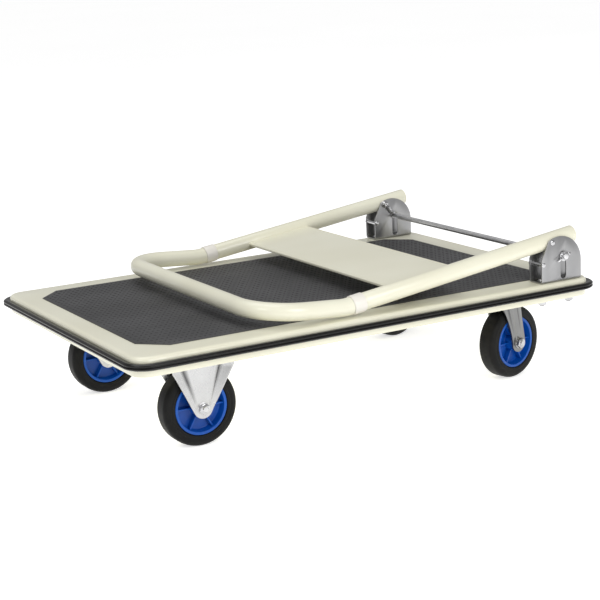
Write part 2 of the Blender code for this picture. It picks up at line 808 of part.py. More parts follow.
def add_release_bar(materials):
    """The bar, and its end pieces beyond the outer cheeks, which travel with it."""
    pivot = add_pivot("release_slide", (BAR_X, 0, BAR_Z))
    inner_face = BRACKET_Y - BRACKET_WIDTH / 2 + BRACKET_SHEET
    outer_face = BRACKET_Y + BRACKET_WIDTH / 2
    bar = add_piece(
        "release_bar",
        mesh_of(cross_bar(BAR_RADIUS, BAR_X, BAR_Z, inner_face - GAP)),
        materials["steel"],
    )
    pieces = [bar]
    for name, side in SIDES:
        profile = (
            (BAR_RADIUS, outer_face - BRACKET_SHEET + GAP),
            (BAR_RADIUS, outer_face + GAP),
            (9 * MM, outer_face + GAP),
            (9 * MM, outer_face + 1.8 * MM),
            (BAR_RADIUS, outer_face + 1.8 * MM),
            (BAR_RADIUS, outer_face + 8 * MM),
            (BAR_RADIUS - 1 * MM, outer_face + 9 * MM),
        )
        turn = along_y()
        if side < 0:
            turn = Matrix.Rotation(math.pi, 4, "Z") @ turn
        work = turned(profile, 12, hollow=False)
        work.transform(Matrix.Translation((BAR_X, 0, BAR_Z)) @ turn)
        end = add_piece("bar_end_" + name, mesh_of(work), materials["steel"])
        cotter_y = side * (outer_face + 4.5 * MM)
        hole = round_bar(1.5 * MM, -20 * MM, 20 * MM, (0, 0, 0), 6)
        slant = Matrix.Rotation(COTTER_SLANT, 4, "Y")
        lie = Matrix.Translation((BAR_X, cotter_y, BAR_Z)) @ slant
        hole.transform(lie)
        carve(end, hole)
        cotter = round_bar(COTTER_RADIUS, -COTTER_LEGS, COTTER_EYE, (0, 0, 0), 8)
        cotter.transform(lie)
        pin = add_piece("cotter_pin_" + name, mesh_of(cotter), materials["zinc"])
        pieces += [end, pin]
    hang_on(pivot, pieces)


def add_springs(materials):
    """Springs that pull the bar up towards the pivot bolts, each as the outer shape of its coil."""
    start = Vector((PIVOT_X, 0, PIVOT_Z))
    end = Vector((BAR_X, 0, BAR_Z))
    length = (end - start).length
    hook = 1 * MM
    profile = (
        (hook, 7.2 * MM),
        (hook, 10 * MM),
        (SPRING_RADIUS, 10.5 * MM),
        (SPRING_RADIUS, length - 9.5 * MM),
        (hook, length - 9 * MM),
        (hook, length - BAR_RADIUS - 0.5 * MM),
    )
    aim = (end - start).to_track_quat("Z", "Y").to_matrix().to_4x4()
    mesh = mesh_of(turned(profile, 12, hollow=False), aim)
    for name, side in SIDES:
        spring = add_piece("return_spring_" + name, mesh, materials["steel"])
        inset = BRACKET_WIDTH / 2 + GAP + SPRING_RADIUS + 0.5 * MM
        spring.location = start + Vector((0, side * (BRACKET_Y - inset), 0))


# ---- handle ----


def add_arms(materials):
    tail_x = PIVOT_X + TAIL_LENGTH * math.cos(ARM_SLOPE)
    front_x = COLLAR_X + COLLAR_LENGTH / 2 * math.cos(ARM_SLOPE) + GAP
    pieces = []
    for name, side in SIDES:
        y = side * BRACKET_Y
        ends = [Vector((x, y, on_arm(x)[1])) for x in (front_x, tail_x)]
        arm = add_piece("arm_" + name, mesh_of(hollow_tube(ends)), materials["cream"])
        hole = cross_bar(HOLE_RADIUS, PIVOT_X, PIVOT_Z, CUT_REACH)
        hole.transform(Matrix.Translation((0, y, 0)))
        carve(arm, hole)
        plug_work = round_bar(SPIGOT_RADIUS, -12 * MM, 0, (0, 0, 0), TUBE_SIDES)
        aim = (ends[1] - ends[0]).to_track_quat("Z", "Y").to_matrix().to_4x4()
        plug_work.transform(Matrix.Translation(ends[1]) @ aim)
        plug = add_piece("end_plug_" + name, mesh_of(plug_work), materials["plug"])
        pieces += [arm, plug]
    return pieces


def add_collars(materials):
    """Connectors between the arms and the grip, each with a spigot into both tubes."""
    half = COLLAR_LENGTH / 2
    profile = (
        (SPIGOT_RADIUS, -half - SPIGOT_LENGTH),
        (SPIGOT_RADIUS, -half),
        (COLLAR_RADIUS, -half),
        (COLLAR_RADIUS, half),
        (SPIGOT_RADIUS, half),
        (SPIGOT_RADIUS, half + SPIGOT_LENGTH),
    )
    pieces = []
    for name, side in SIDES:
        x, z = on_arm(COLLAR_X)
        aim = Matrix.Rotation(math.radians(90) - ARM_SLOPE, 4, "Y")
        turn = Matrix.Translation((x, side * BRACKET_Y, z)) @ aim
        collar = mesh_of(turned(profile, 16, hollow=False), turn)
        pieces.append(add_piece("grip_collar_" + name, collar, materials["collar"]))
    return pieces


def add_grip(materials):
    start_x = COLLAR_X - COLLAR_LENGTH / 2 * math.cos(ARM_SLOPE) - GAP
    start_z = on_arm(start_x)[1]
    side_route = ((start_x, start_z), (BEND_X, BEND_Z), (GRIP_X, GRIP_Z))
    corners = [(x, -BRACKET_Y, z) for x, z in side_route]
    corners += [(x, BRACKET_Y, z) for x, z in reversed(side_route)]
    radii = (BEND_RADIUS, GRIP_CORNER, GRIP_CORNER, BEND_RADIUS)
    path = filleted_path(corners, radii)
    return [add_piece("grip_tube", mesh_of(hollow_tube(path)), materials["cream"])]


def add_panel(materials):
    """The sheet panel welded between the arms, with its front and rear edges turned down."""
    low = PANEL_HEIGHT - SHEET
    lip = PANEL_HEIGHT - PANEL_LIP
    outline = (
        (PANEL_FRONT, lip),
        (PANEL_FRONT, PANEL_HEIGHT - 2 * MM),
        (PANEL_FRONT + 2 * MM, PANEL_HEIGHT),
        (PANEL_REAR - 2 * MM, PANEL_HEIGHT),
        (PANEL_REAR, PANEL_HEIGHT - 2 * MM),
        (PANEL_REAR, lip),
        (PANEL_REAR - SHEET, lip),
        (PANEL_REAR - SHEET, low - 1 * MM),
        (PANEL_REAR - SHEET - 1 * MM, low),
        (PANEL_FRONT + SHEET + 1 * MM, low),
        (PANEL_FRONT + SHEET, low - 1 * MM),
        (PANEL_FRONT + SHEET, lip),
    )
    half = BRACKET_Y - 7.4 * MM
    rings = []
    for y in (-half, half):
        ring = []
        for x, lift in outline:
            px, pz = on_arm(x, lift)
            ring.append((px, y, pz))
        rings.append(ring)
    panel = add_piece("handle_panel", mesh_of(skin_rings(rings, False)), materials["cream"])
    cuts = bmesh.new()
    aim = Matrix.Rotation(math.radians(90) - ARM_SLOPE, 4, "Y")
    for _, side in SIDES:
        tube = round_bar(TUBE_RADIUS + 2 * GAP, -PANEL_REAR, PANEL_REAR, (0, 0, 0), 24)
        middle = (PANEL_FRONT + PANEL_REAR) / 2
        tube.transform(Matrix.Translation((middle, side * BRACKET_Y, on_arm(middle)[1])) @ aim)
        add_shape(cuts, tube)
    carve(panel, cuts)
    return [panel]


def main():
    clear_scene()
    materials = make_materials()
    add_deck_pan(materials)
    add_bumper(materials)
    add_mat(materials)
    add_side_rails(materials)
    add_cross_beams(materials)
    meshes = caster_meshes(materials)
    add_fixed_casters(meshes, materials)
    add_swivel_casters(meshes, materials)
    add_brackets(materials)
    add_bracket_pins(materials)
    add_base_bolts(materials)
    add_release_bar(materials)
    add_springs(materials)
    handle = add_arms(materials) + add_collars(materials) + add_grip(materials)
    handle += add_panel(materials)
    hang_on(add_pivot("handle_pivot", (PIVOT_X, 0, PIVOT_Z)), handle)


main()
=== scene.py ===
import json
import math

import bmesh
import bpy
from mathutils import Matrix, Vector


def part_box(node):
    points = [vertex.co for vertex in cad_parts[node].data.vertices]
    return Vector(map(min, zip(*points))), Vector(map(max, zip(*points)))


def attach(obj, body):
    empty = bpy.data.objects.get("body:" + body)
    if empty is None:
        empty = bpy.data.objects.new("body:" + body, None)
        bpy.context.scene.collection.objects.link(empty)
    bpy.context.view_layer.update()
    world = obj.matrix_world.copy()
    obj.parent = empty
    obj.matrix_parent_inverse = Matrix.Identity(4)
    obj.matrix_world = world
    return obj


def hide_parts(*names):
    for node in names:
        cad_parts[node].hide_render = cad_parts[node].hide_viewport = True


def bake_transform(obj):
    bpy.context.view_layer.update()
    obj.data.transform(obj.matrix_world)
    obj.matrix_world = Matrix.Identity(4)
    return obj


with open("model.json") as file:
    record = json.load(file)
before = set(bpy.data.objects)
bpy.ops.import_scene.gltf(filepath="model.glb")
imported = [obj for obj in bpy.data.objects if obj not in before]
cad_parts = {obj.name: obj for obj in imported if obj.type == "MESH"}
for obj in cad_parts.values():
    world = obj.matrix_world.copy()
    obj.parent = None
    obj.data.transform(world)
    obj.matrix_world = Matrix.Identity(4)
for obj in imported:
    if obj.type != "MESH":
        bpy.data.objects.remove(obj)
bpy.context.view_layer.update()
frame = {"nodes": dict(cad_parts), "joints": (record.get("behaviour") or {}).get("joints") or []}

mm = 0.001  # pieces are built in millimetres and scaled to metres as they are settled
sides = {"left": -1, "right": 1}
xAxis, yAxis, zAxis = Vector((1, 0, 0)), Vector((0, 1, 0)), Vector((0, 0, 1))
joints = {joint["name"]: joint for joint in frame["joints"]}


def boxOf(node):
    low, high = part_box(node)
    return low / mm, high / mm


def middleOf(node):
    low, high = boxOf(node)
    return (low + high) / 2


def jointPlace(name):
    return Vector(joints[name]["pos_m"]) / mm


# camera, lights and floor

view = {
    "azimuth": -29.158,
    "elevation": 13.16,
    "roll": -2.587,
    "distance": 2.8702,
    "target": (0.0090, 0, 0.1585),
    "lens": 95.15,
}


def placeCamera():
    turn, lift, roll = (math.radians(view[key]) for key in ("azimuth", "elevation", "roll"))
    flat = math.cos(lift)
    back = Vector((math.sin(turn) * flat, -math.cos(turn) * flat, math.sin(lift)))
    across = zAxis.cross(back).normalized()
    up = back.cross(across)
    right = across * math.cos(roll) + up * math.sin(roll)
    top = up * math.cos(roll) - across * math.sin(roll)
    data = bpy.data.cameras.new("camera")
    data.lens = view["lens"]
    data.clip_start, data.clip_end = 0.05, 200
    camera = bpy.data.objects.new("camera", data)
    bpy.context.scene.collection.objects.link(camera)
    place = Matrix.Translation(Vector(view["target"]) + back * view["distance"])
    camera.matrix_world = place @ Matrix((right, top, back)).transposed().to_4x4()
    bpy.context.scene.camera = camera


studio = {
    "sky": 0.40,
    "key": {"place": (0.3, -3.4, 1.9), "size": 1.6, "power": 52},
    "overhead": {"place": (-0.4, 0.6, 3.4), "size": 2.4, "power": 36},
    "side": {"place": (-3.0, -1.2, 2.4), "size": 0.9, "power": 22},
    "floorGlow": 0.62,
    "floorReach": 60,
}


def lightStudio():
    world = bpy.data.worlds.new("studio")
    world.use_nodes = True
    sky = world.node_tree.nodes["Background"]
    sky.inputs["Color"].default_value = (1, 1, 1, 1)
    sky.inputs["Strength"].default_value = studio["sky"]
    bpy.context.scene.world = world
    for name in ("key", "overhead", "side"):
        data = bpy.data.lights.new(name, "AREA")
        data.shape = "SQUARE"
        data.size = studio[name]["size"]
        data.energy = studio[name]["power"]
        lamp = bpy.data.objects.new(name, data)
        lamp.location = studio[name]["place"]
        lamp.rotation_euler = (-lamp.location).to_track_quat("-Z", "Y").to_euler()
        bpy.context.scene.collection.objects.link(lamp)
    bpy.context.scene.view_settings.view_transform = "Standard"


# node trees: an output socket that takes arithmetic, and a tree that takes nodes

class Wire:
    def __init__(self, graph, socket):
        self.graph = graph
        self.socket = socket

    def reckon(self, operation, first, second):
        return self.graph.node("ShaderNodeMath", {"operation": operation}, {0: first, 1: second})

    def __add__(self, other):
        return self.reckon("ADD", self, other)

    def __sub__(self, other):
        return self.reckon("SUBTRACT", self, other)

    def __rsub__(self, other):
        return self.reckon("SUBTRACT", other, self)

    def __mul__(self, other):
        return self.reckon("MULTIPLY", self, other)

    def __truediv__(self, other):
        return self.reckon("DIVIDE", self, other)

    def __mod__(self, other):
        return self.reckon("FLOORED_MODULO", self, other)

    def __gt__(self, other):
        return self.reckon("GREATER_THAN", self, other)

    def __abs__(self):
        return self.reckon("ABSOLUTE", self, None)

    __radd__ = __add__
    __rmul__ = __mul__


class Graph:
    def __init__(self, tree):
        self.tree = tree

    def plug(self, socket, value):
        if isinstance(value, Wire):
            self.tree.links.new(value.socket, socket)
        elif value is not None:
            socket.default_value = value

    def node(self, kind, settings=None, inputs=None, output=0):
        made = self.tree.nodes.new(kind)
        for name, value in (settings or {}).items():
            setattr(made, name, value)
        for name, value in (inputs or {}).items():
            self.plug(made.inputs[name], value)
        return Wire(self, made.outputs[output])


class Finish(Graph):  # a material; constant sockets are given by name when it is made
    def __init__(self, name, **constants):
        self.material = bpy.data.materials.new(name)
        self.material.use_nodes = True
        super().__init__(self.material.node_tree)
        self.shader = self.tree.nodes["Principled BSDF"]
        for label, value in constants.items():
            self.shader.inputs[label.replace("_", " ")].default_value = value
        self.place = self.node("ShaderNodeTexCoord", output="Object")

    def noise(self, scale, detail=3, stretch=None):
        place = self.place
        if stretch:
            place = self.node("ShaderNodeMapping", None, {"Vector": place, "Scale": stretch})
        inputs = {"Vector": place, "Scale": scale, "Detail": detail}
        return self.node("ShaderNodeTexNoise", None, inputs)

    def ramp(self, value, low, high, lowTo=0, highTo=1):
        inputs = {"Value": value, "From Min": low, "From Max": high, "To Min": lowTo, "To Max": highTo}
        return self.node("ShaderNodeMapRange", None, inputs)

    def mixed(self, mask, one, other):
        one, other = (c if isinstance(c, Wire) else (*c, 1) for c in (one, other))
        return self.node("ShaderNodeMix", {"data_type": "RGBA"}, {0: mask, 6: one, 7: other}, output=2)

    def feed(self, colour=None, roughness=None, height=None, bumpDistance=0.0002, bumpStrength=0.3):
        self.plug(self.shader.inputs["Base Color"], colour)
        self.plug(self.shader.inputs["Roughness"], roughness)
        if height is not None:
            inputs = {"Height": height, "Distance": bumpDistance, "Strength": bumpStrength}
            self.plug(self.shader.inputs["Normal"], self.node("ShaderNodeBump", None, inputs))
        return self


# finishes

creams = {"light": (0.84, 0.825, 0.68), "deep": (0.775, 0.755, 0.60), "speck": (0.66, 0.63, 0.48)}


def powderPaint():
    paint = Finish("creamPaint", Coat_Weight=0.25, Coat_Roughness=0.12)
    cloud = paint.ramp(paint.noise(4.5, 2), 0.35, 0.65)
    speck = paint.ramp(paint.noise(420, 2), 0.70, 0.76, 0, 0.35)
    colour = paint.mixed(speck, paint.mixed(cloud, creams["light"], creams["deep"]), creams["speck"])
    peel = paint.noise(520, 2) + paint.noise(95, 1) * 0.7
    return paint.feed(colour, 0.27 + 0.10 * paint.noise(26, 2), peel, 0.00035, 0.12)


def mouldedPlastic(name, light, deep, roughness, grain=900, **constants):
    plastic = Finish(name, **constants)
    flow = plastic.ramp(plastic.noise(14, 3, (1, 0.5, 1)), 0.3, 0.7)
    colour = plastic.mixed(flow, light, deep)
    scuff = plastic.noise(60, 4)
    return plastic.feed(colour, roughness + 0.16 * scuff, plastic.noise(grain, 3), 0.0002, 0.16)


def treadRubber(baseTop):
    rubber = Finish("matRubber", Specular_IOR_Level=0.30)
    height = rubber.node("ShaderNodeSeparateXYZ", None, {0: rubber.place}, output="Z")
    # painted shade: the studs above the sheet's top face are coloured near black, for the shade on their
    # sides
    paintedStudShade = rubber.ramp(height, baseTop * mm, (baseTop + 0.25) * mm)
    dust = rubber.ramp(rubber.noise(9, 4), 0.38, 0.68)
    ground = rubber.mixed(dust, (0.054, 0.054, 0.056), (0.074, 0.074, 0.077))
    colour = rubber.mixed(paintedStudShade, ground, (0.004, 0.004, 0.004))
    grain = rubber.noise(1500, 2) + rubber.noise(260, 2) * 0.6
    return rubber.feed(colour, 0.50 + 0.14 * rubber.noise(34, 3), grain, 0.0003, 0.35)


def softRubber(name, shade, roughness, specular):
    rubber = Finish(name, Specular_IOR_Level=specular)
    bloom = rubber.ramp(rubber.noise(22, 4), 0.35, 0.7)
    colour = rubber.mixed(bloom, (shade, shade, shade), (shade * 1.7, shade * 1.65, shade * 1.6))
    grain = rubber.noise(700, 3) + rubber.noise(120, 2) * 0.5
    return rubber.feed(colour, roughness + 0.15 * rubber.noise(45, 3), grain, 0.0003, 0.22)


def platedSheet(name, shade, tint, roughness, streak, channelShade=None):
    zinc = Finish(name, Metallic=1.0)
    bath = zinc.ramp(zinc.noise(16, 4), 0.3, 0.72)
    light = tuple(shade * part for part in tint)
    cloud = zinc.mixed(bath, light, tuple(part * 0.88 for part in light))
    lines = zinc.ramp(zinc.noise(40, 2, (1, 1, 0.08)), 0.42, 0.8)
    colour = zinc.mixed(lines, cloud, tuple(part * streak for part in light))
    if channelShade:  # painted shade: darker along a pressed channel's walls, where the grooves look shaded, by how far across and up the leg a point is
        legs = zinc.node("ShaderNodeUVMap", {"uv_map": "legs"})
        across = abs(zinc.node("ShaderNodeSeparateXYZ", None, {0: legs}, output=0))
        up = zinc.node("ShaderNodeSeparateXYZ", None, {0: legs}, output=1)
        inner = zinc.ramp(across, channelShade[0], channelShade[1])
        outer = zinc.ramp(across, channelShade[1], channelShade[2], 1, 0)
        colour = zinc.mixed(inner * outer * zinc.ramp(up, 0.1, 0.7), colour, (0.10, 0.10, 0.10))
    rolled = zinc.noise(150, 3, (1, 1, 0.06)) * 0.6 + zinc.noise(900, 2) * 0.4
    return zinc.feed(colour, roughness + 0.14 * zinc.noise(70, 4), rolled, 0.00012, 0.18)


def machinedSteel(name, shade, roughness):
    steel = Finish(name, Metallic=1.0)
    cloud = steel.ramp(steel.noise(38, 3), 0.3, 0.7)
    colour = steel.mixed(cloud, (shade, shade, shade * 1.01), (shade * 0.78, shade * 0.78, shade * 0.8))
    drawn = steel.noise(620, 2, (1, 0.05, 1))
    return steel.feed(colour, roughness + 0.12 * steel.noise(90, 3), drawn, 0.0001, 0.15)


mat = {
    "edge": 0.4, "cut": 42, "corner": 2.5, "bevel": 0.3, "plain": 5,
    "pitchX": 9.0, "pitchY": 13.6, "tilt": 40,
}
mat["low"], mat["high"] = boxOf("anti_slip_mat")
mat["baseTop"] = mat["high"].z - mat["edge"]

creamPaint = powderPaint()
collarPlastic = mouldedPlastic("palePlastic", (0.83, 0.80, 0.74), (0.78, 0.75, 0.68), 0.34)
hubPlastic = mouldedPlastic(
    "bluePlastic", (0.001, 0.088, 0.44), (0.001, 0.062, 0.34), 0.26, 500, Specular_IOR_Level=0.35
)
bushPlastic = mouldedPlastic("bushPlastic", (0.36, 0.36, 0.35), (0.28, 0.28, 0.27), 0.4)
plugPlastic = mouldedPlastic("plugPlastic", (0.022, 0.022, 0.023), (0.014, 0.014, 0.014), 0.4)
matRubber = treadRubber(mat["baseTop"])
bumperRubber = softRubber("bumperRubber", 0.004, 0.12, 0.32)
tyreRubber = softRubber("tyreRubber", 0.004, 0.44, 0.18)
bracketZinc = platedSheet("bracketZinc", 0.40, (1.0, 1.0, 1.01), 0.28, 0.8)
forkZinc = platedSheet("forkZinc", 0.54, (1.0, 1.0, 1.0), 0.20, 0.84, (0.46, 0.60, 0.72))
# painted shade: the swivel forks get a darker copy of the fork zinc, for the shade they stand in under the
# deck
swivelZinc = platedSheet("swivelZinc", 0.25, (1.0, 1.0, 0.99), 0.24, 0.8, (0.30, 0.42, 0.60))
brightSteel = machinedSteel("brightSteel", 0.58, 0.12)
barSteel = machinedSteel("barSteel", 0.74, 0.34)
springSteel = machinedSteel("springSteel", 0.62, 0.20)


def layFloor():
    floor = Finish("floorPaper", Specular_IOR_Level=0.1, Emission_Strength=studio["floorGlow"])
    floor.shader.inputs["Emission Color"].default_value = (1, 1, 1, 1)
    cloud = floor.ramp(floor.noise(0.8, 2), 0.3, 0.7)
    floor.feed(floor.mixed(cloud, (0.93, 0.93, 0.93), (0.90, 0.90, 0.90)), 0.85)
    work = bmesh.new()
    bmesh.ops.create_grid(work, x_segments=1, y_segments=1, size=studio["floorReach"])
    mesh = bpy.data.meshes.new("floor")
    work.to_mesh(mesh)
    work.free()
    mesh.materials.append(floor.material)
    paper = bpy.data.objects.new("floor", mesh)
    bpy.context.scene.collection.objects.link(paper)


placeCamera()
lightStudio()
layFloor()
print("camera, lights and floor are set")


# shapes, as bmesh work in millimetres

def rounded(corners, steps=4):  # corners of a closed outline as (a, b, radius), each turned by an arc
    outline = []
    for index, (a, b, radius) in enumerate(corners):
        corner = Vector((a, b))
        if not radius:
            outline.append(corner)
            continue
        back = (Vector(corners[index - 1][:2]) - corner).normalized()
        ahead = (Vector(corners[(index + 1) % len(corners)][:2]) - corner).normalized()
        half = back.angle(ahead) / 2
        centre = corner + (back + ahead).normalized() * radius / math.sin(half)
        spoke = corner + back * radius / math.tan(half) - centre
        sweep = math.copysign(math.pi - 2 * half, -back.cross(ahead))
        for step in range(steps + 1):
            outline.append(centre + Matrix.Rotation(sweep * step / steps, 2) @ spoke)
    return outline


def loft(rings, closed=False):
    work = bmesh.new()
    rows = [[work.verts.new(point) for point in ring] for ring in rings]
    for one, other in zip(rows, rows[1:] + rows[:1] if closed else rows[1:]):
        for index, vert in enumerate(one):
            work.faces.new((one[index - 1], vert, other[index], other[index - 1]))
    if not closed:
        work.faces.new(rows[0])
        work.faces.new(rows[-1])
    return work


def turned(profile, steps=48, closed=False):  # (radius, z) points spun about Z
    turns = [math.tau * step / steps for step in range(steps)]
    rings = [[(r * math.cos(t), r * math.sin(t), z) for t in turns] for r, z in profile]
    return loft(rings, closed)


def extruded(outline, low, high, plane="xy"):  # an outline made thick square to its plane
    lay = {
        "xy": lambda a, b, c: (a, b, c),
        "xz": lambda a, b, c: (a, c, b),
        "yz": lambda a, b, c: (c, a, b),
    }
    return loft([[lay[plane](a, b, c) for a, b in outline] for c in (low, high)])


def swept(path, radius, sides=12):  # a round bar along a path
    side = Vector((path[1] - path[0]).orthogonal()).normalized()
    rings = []
    for index, point in enumerate(path):
        along = (path[min(index + 1, len(path) - 1)] - path[max(index - 1, 0)]).normalized()
        side = (side - along * side.dot(along)).normalized()
        up = along.cross(side)
        turns = [math.tau * step / sides for step in range(sides)]
        rings.append([point + radius * (math.cos(t) * side + math.sin(t) * up) for t in turns])
    return loft(rings)


def filleted(corners, radii, angle=5):  # a route whose inner corners are rounded by arcs
    path = [Vector(corners[0])]
    for before, corner, after, radius in zip(corners, corners[1:], corners[2:], radii):
        corner = Vector(corner)
        back = (Vector(before) - corner).normalized()
        ahead = (Vector(after) - corner).normalized()
        half = back.angle(ahead) / 2
        centre = corner + (back + ahead).normalized() * radius / math.sin(half)
        spoke = corner + back * radius / math.tan(half) - centre
        sweep = math.pi - 2 * half
        steps = math.ceil(sweep / math.radians(angle))
        axis = spoke.cross(-back)
        for step in range(steps + 1):
            path.append(centre + Matrix.Rotation(sweep * step / steps, 3, axis) @ spoke)
    return path + [Vector(corners[-1])]


def moved(work, matrix):
    work.transform(matrix)
    return work


def shift(x, y, z):
    return Matrix.Translation((x, y, z))


def meshFrom(work, name="shape"):
    bmesh.ops.remove_doubles(work, verts=work.verts, dist=0.002)
    bmesh.ops.recalc_face_normals(work, faces=work.faces)
    mesh = bpy.data.meshes.new(name)
    work.to_mesh(mesh)
    work.free()
    return mesh


def together(*works):
    whole = bmesh.new()
    for work in works:
        mesh = meshFrom(work)
        whole.from_mesh(mesh)
        bpy.data.meshes.remove(mesh)
    return whole


def objectFrom(work, name="shape"):
    thing = bpy.data.objects.new(name, meshFrom(work, name))
    bpy.context.scene.collection.objects.link(thing)
    return thing


def evaluated(thing):
    graph = bpy.context.evaluated_depsgraph_get()
    return bpy.data.meshes.new_from_object(thing.evaluated_get(graph))


def carved(work, cutter, operation="DIFFERENCE"):
    body, tool = objectFrom(work), objectFrom(cutter)
    modifier = body.modifiers.new("carve", "BOOLEAN")
    modifier.operation = operation
    modifier.object = tool
    result = bmesh.new()
    result.from_mesh(evaluated(body))
    for spent in (body, tool):
        bpy.data.objects.remove(spent, do_unlink=True)
    return result


def settle(name, work, finish, body, replaced=(), sharp=38, bevel=0.0):
    piece = objectFrom(work, name)
    piece.data.materials.append(finish.material)
    if bevel:
        edges = piece.modifiers.new("edges", "BEVEL")
        edges.width = bevel
        edges.segments = 2
        edges.angle_limit = math.radians(sharp)
    mesh = evaluated(piece)
    piece.modifiers.clear()
    piece.data = mesh
    mesh.transform(Matrix.Scale(mm, 4))
    mesh.shade_smooth()
    mesh.set_sharp_from_angle(angle=math.radians(sharp))
    if isinstance(body, str):
        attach(piece, body)
    else:
        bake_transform(piece)
    if replaced:
        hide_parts(*replaced)
    return piece


def along(axis, place=(0, 0, 0)):  # turns what was made along Z so that it runs along an axis
    return Matrix.Translation(place) @ Vector(axis).to_track_quat("Z", "Y").to_matrix().to_4x4()


# fasteners, made along Z

def hexagon(across, low, high, slant=0.6, steps=24):  # a nut or bolt head, chamfered at both ends
    flat = across / 2
    rim = flat * 0.96
    rings = [[], [], [], []]
    for step in range(steps):
        turn = math.tau * step / steps
        reach = flat / math.cos(turn % (math.pi / 3) - math.pi / 6)
        fall = (reach - rim) * slant
        levels = ((rim, low), (reach, low + fall), (reach, high - fall), (rim, high))
        for ring, (radius, z) in zip(rings, levels):
            ring.append((radius * math.cos(turn), radius * math.sin(turn), z))
    return loft(rings)


def washer(inner, outer, low, high):
    edge = min(0.4, (high - low) / 3)
    corners = ((inner, low, 0), (outer, low, edge), (outer, high, edge), (inner, high, 0))
    return turned(rounded(corners, 2), 32, closed=True)


def thread(radius, low, high, pitch=1.25, depth=0.55):
    count = max(int(abs(high - low) / pitch), 1)
    step = (high - low) / count
    profile = [(radius - depth, low)]
    for turn in range(count):
        profile += [(radius, low + step * (turn + 0.3)), (radius, low + step * (turn + 0.55))]
        profile.append((radius - depth, low + step * (turn + 1)))
    return turned(profile, 24)


def pin(radius, low, high, crown=0.8):
    corners = ((0.05, low, 0), (radius, low, crown), (radius, high, crown), (0.05, high, 0))
    return turned(rounded(corners, 3), 28)


def dome(radius, low, height, steps=6):  # a low round head that rises from z = low
    profile = [(radius, low)]
    for step in range(steps + 1):
        turn = math.pi / 2 * step / steps
        rise = height * (0.25 + 0.75 * math.sin(turn))
        profile.append((max(radius * math.cos(turn), 0.1), low + rise))
    return turned(profile, 32)


# Geometry Nodes trees

class Pattern(Graph):  # a tree with named inputs; each is given its usual value when it is made
    kinds = {int: "NodeSocketInt", float: "NodeSocketFloat"}

    def __init__(self, name, **inputs):
        super().__init__(bpy.data.node_groups.new(name, "GeometryNodeTree"))
        face = self.tree.interface
        for label, value in inputs.items():
            socket = face.new_socket(label, in_out="INPUT", socket_type=self.kinds[type(value)])
            socket.default_value = value
        face.new_socket("material", in_out="INPUT", socket_type="NodeSocketMaterial")
        face.new_socket("shape", in_out="OUTPUT", socket_type="NodeSocketGeometry")
        self.source = self.tree.nodes.new("NodeGroupInput")

    def __getitem__(self, label):
        return Wire(self, self.source.outputs[label])

    def vector(self, x=0.0, y=0.0, z=0.0):
        return self.node("ShaderNodeCombineXYZ", None, {"X": x, "Y": y, "Z": z})

    def turnedBy(self, angle):
        return self.node("FunctionNodeEulerToRotation", None, {0: self.vector(z=angle)})

    def copied(self, points, thing, **more):  # one thing set at every point
        inputs = {"Points": points, "Instance": thing, **more}
        return self.node("GeometryNodeInstanceOnPoints", None, inputs)

    def close(self, shape):
        real = self.node("GeometryNodeRealizeInstances", None, {0: shape})
        inputs = {"Geometry": real, "Material": self["material"]}
        sink = self.tree.nodes.new("NodeGroupOutput")
        self.plug(sink.inputs[0], self.node("GeometryNodeSetMaterial", None, inputs))
        return self

    def grow(self, finish, **values):  # runs the tree and hands back the plain mesh it makes, as work
        seed = bpy.data.objects.new("seed", bpy.data.meshes.new("seed"))
        bpy.context.scene.collection.objects.link(seed)
        modifier = seed.modifiers.new("pattern", "NODES")
        modifier.node_group = self.tree
        for item in self.tree.interface.items_tree:
            if item.in_out == "INPUT" and item.name in values:
                modifier[item.identifier] = values[item.name]
            elif item.in_out == "INPUT" and item.name == "material":
                modifier[item.identifier] = finish.material
        work = bmesh.new()
        work.from_mesh(evaluated(seed))
        bpy.data.objects.remove(seed, do_unlink=True)
        return work


def treadPattern():  # lozenges in rows, turned by turns, inside a rectangle with its corners cut
    tree = Pattern(
        "treadPattern",
        columns=87, rows=35, pitchX=9.0, pitchY=13.6, length=780.0, width=480.0, cut=42.0,
        lozengeLength=7.2, lozengeWidth=2.7, rise=0.4, tilt=0.7,
    )
    sizes = {
        "Size X": (tree["columns"] - 1) * tree["pitchX"],
        "Size Y": (tree["rows"] - 1) * tree["pitchY"],
        "Vertices X": tree["columns"],
        "Vertices Y": tree["rows"],
    }
    grid = tree.node("GeometryNodeMeshGrid", None, sizes)
    place = tree.node("GeometryNodeInputPosition")
    x, y = (tree.node("ShaderNodeSeparateXYZ", None, {0: place}, output=which) for which in (0, 1))
    cell = x / tree["pitchX"] + y / tree["pitchY"] + 0.5
    parity = tree.node("ShaderNodeMath", {"operation": "FLOOR"}, {0: cell}) % 2
    corner = tree["length"] / 2 + tree["width"] / 2 - tree["cut"]
    outside = (abs(x) > tree["length"] / 2) + (abs(y) > tree["width"] / 2) + (abs(x) + abs(y) > corner)
    inputs = {0: grid, "Selection": outside > 0.5}
    points = tree.node("GeometryNodeDeleteGeometry", {"domain": "POINT"}, inputs)
    disc = tree.node("GeometryNodeMeshCircle", {"fill_type": "NGON"}, {"Vertices": 8, "Radius": 1.0})
    extrude = tree.tree.nodes.new("GeometryNodeExtrudeMesh")
    tree.plug(extrude.inputs["Mesh"], disc)
    tree.plug(extrude.inputs["Offset Scale"], tree["rise"])
    stud, top = (Wire(tree, extrude.outputs[label]) for label in ("Mesh", "Top"))
    inputs = {"Geometry": stud, "Selection": top, "Scale": 0.6}
    tapered = tree.node("GeometryNodeScaleElements", {"domain": "FACE"}, inputs)
    size = tree.vector(tree["lozengeLength"] / 2, tree["lozengeWidth"] / 2, 1.0)
    lozenge = tree.node("GeometryNodeTransform", None, {"Geometry": tapered, "Scale": size})
    turn = tree.turnedBy((parity - 0.5) * 2 * tree["tilt"])
    return tree.close(tree.copied(points, lozenge, Rotation=turn))


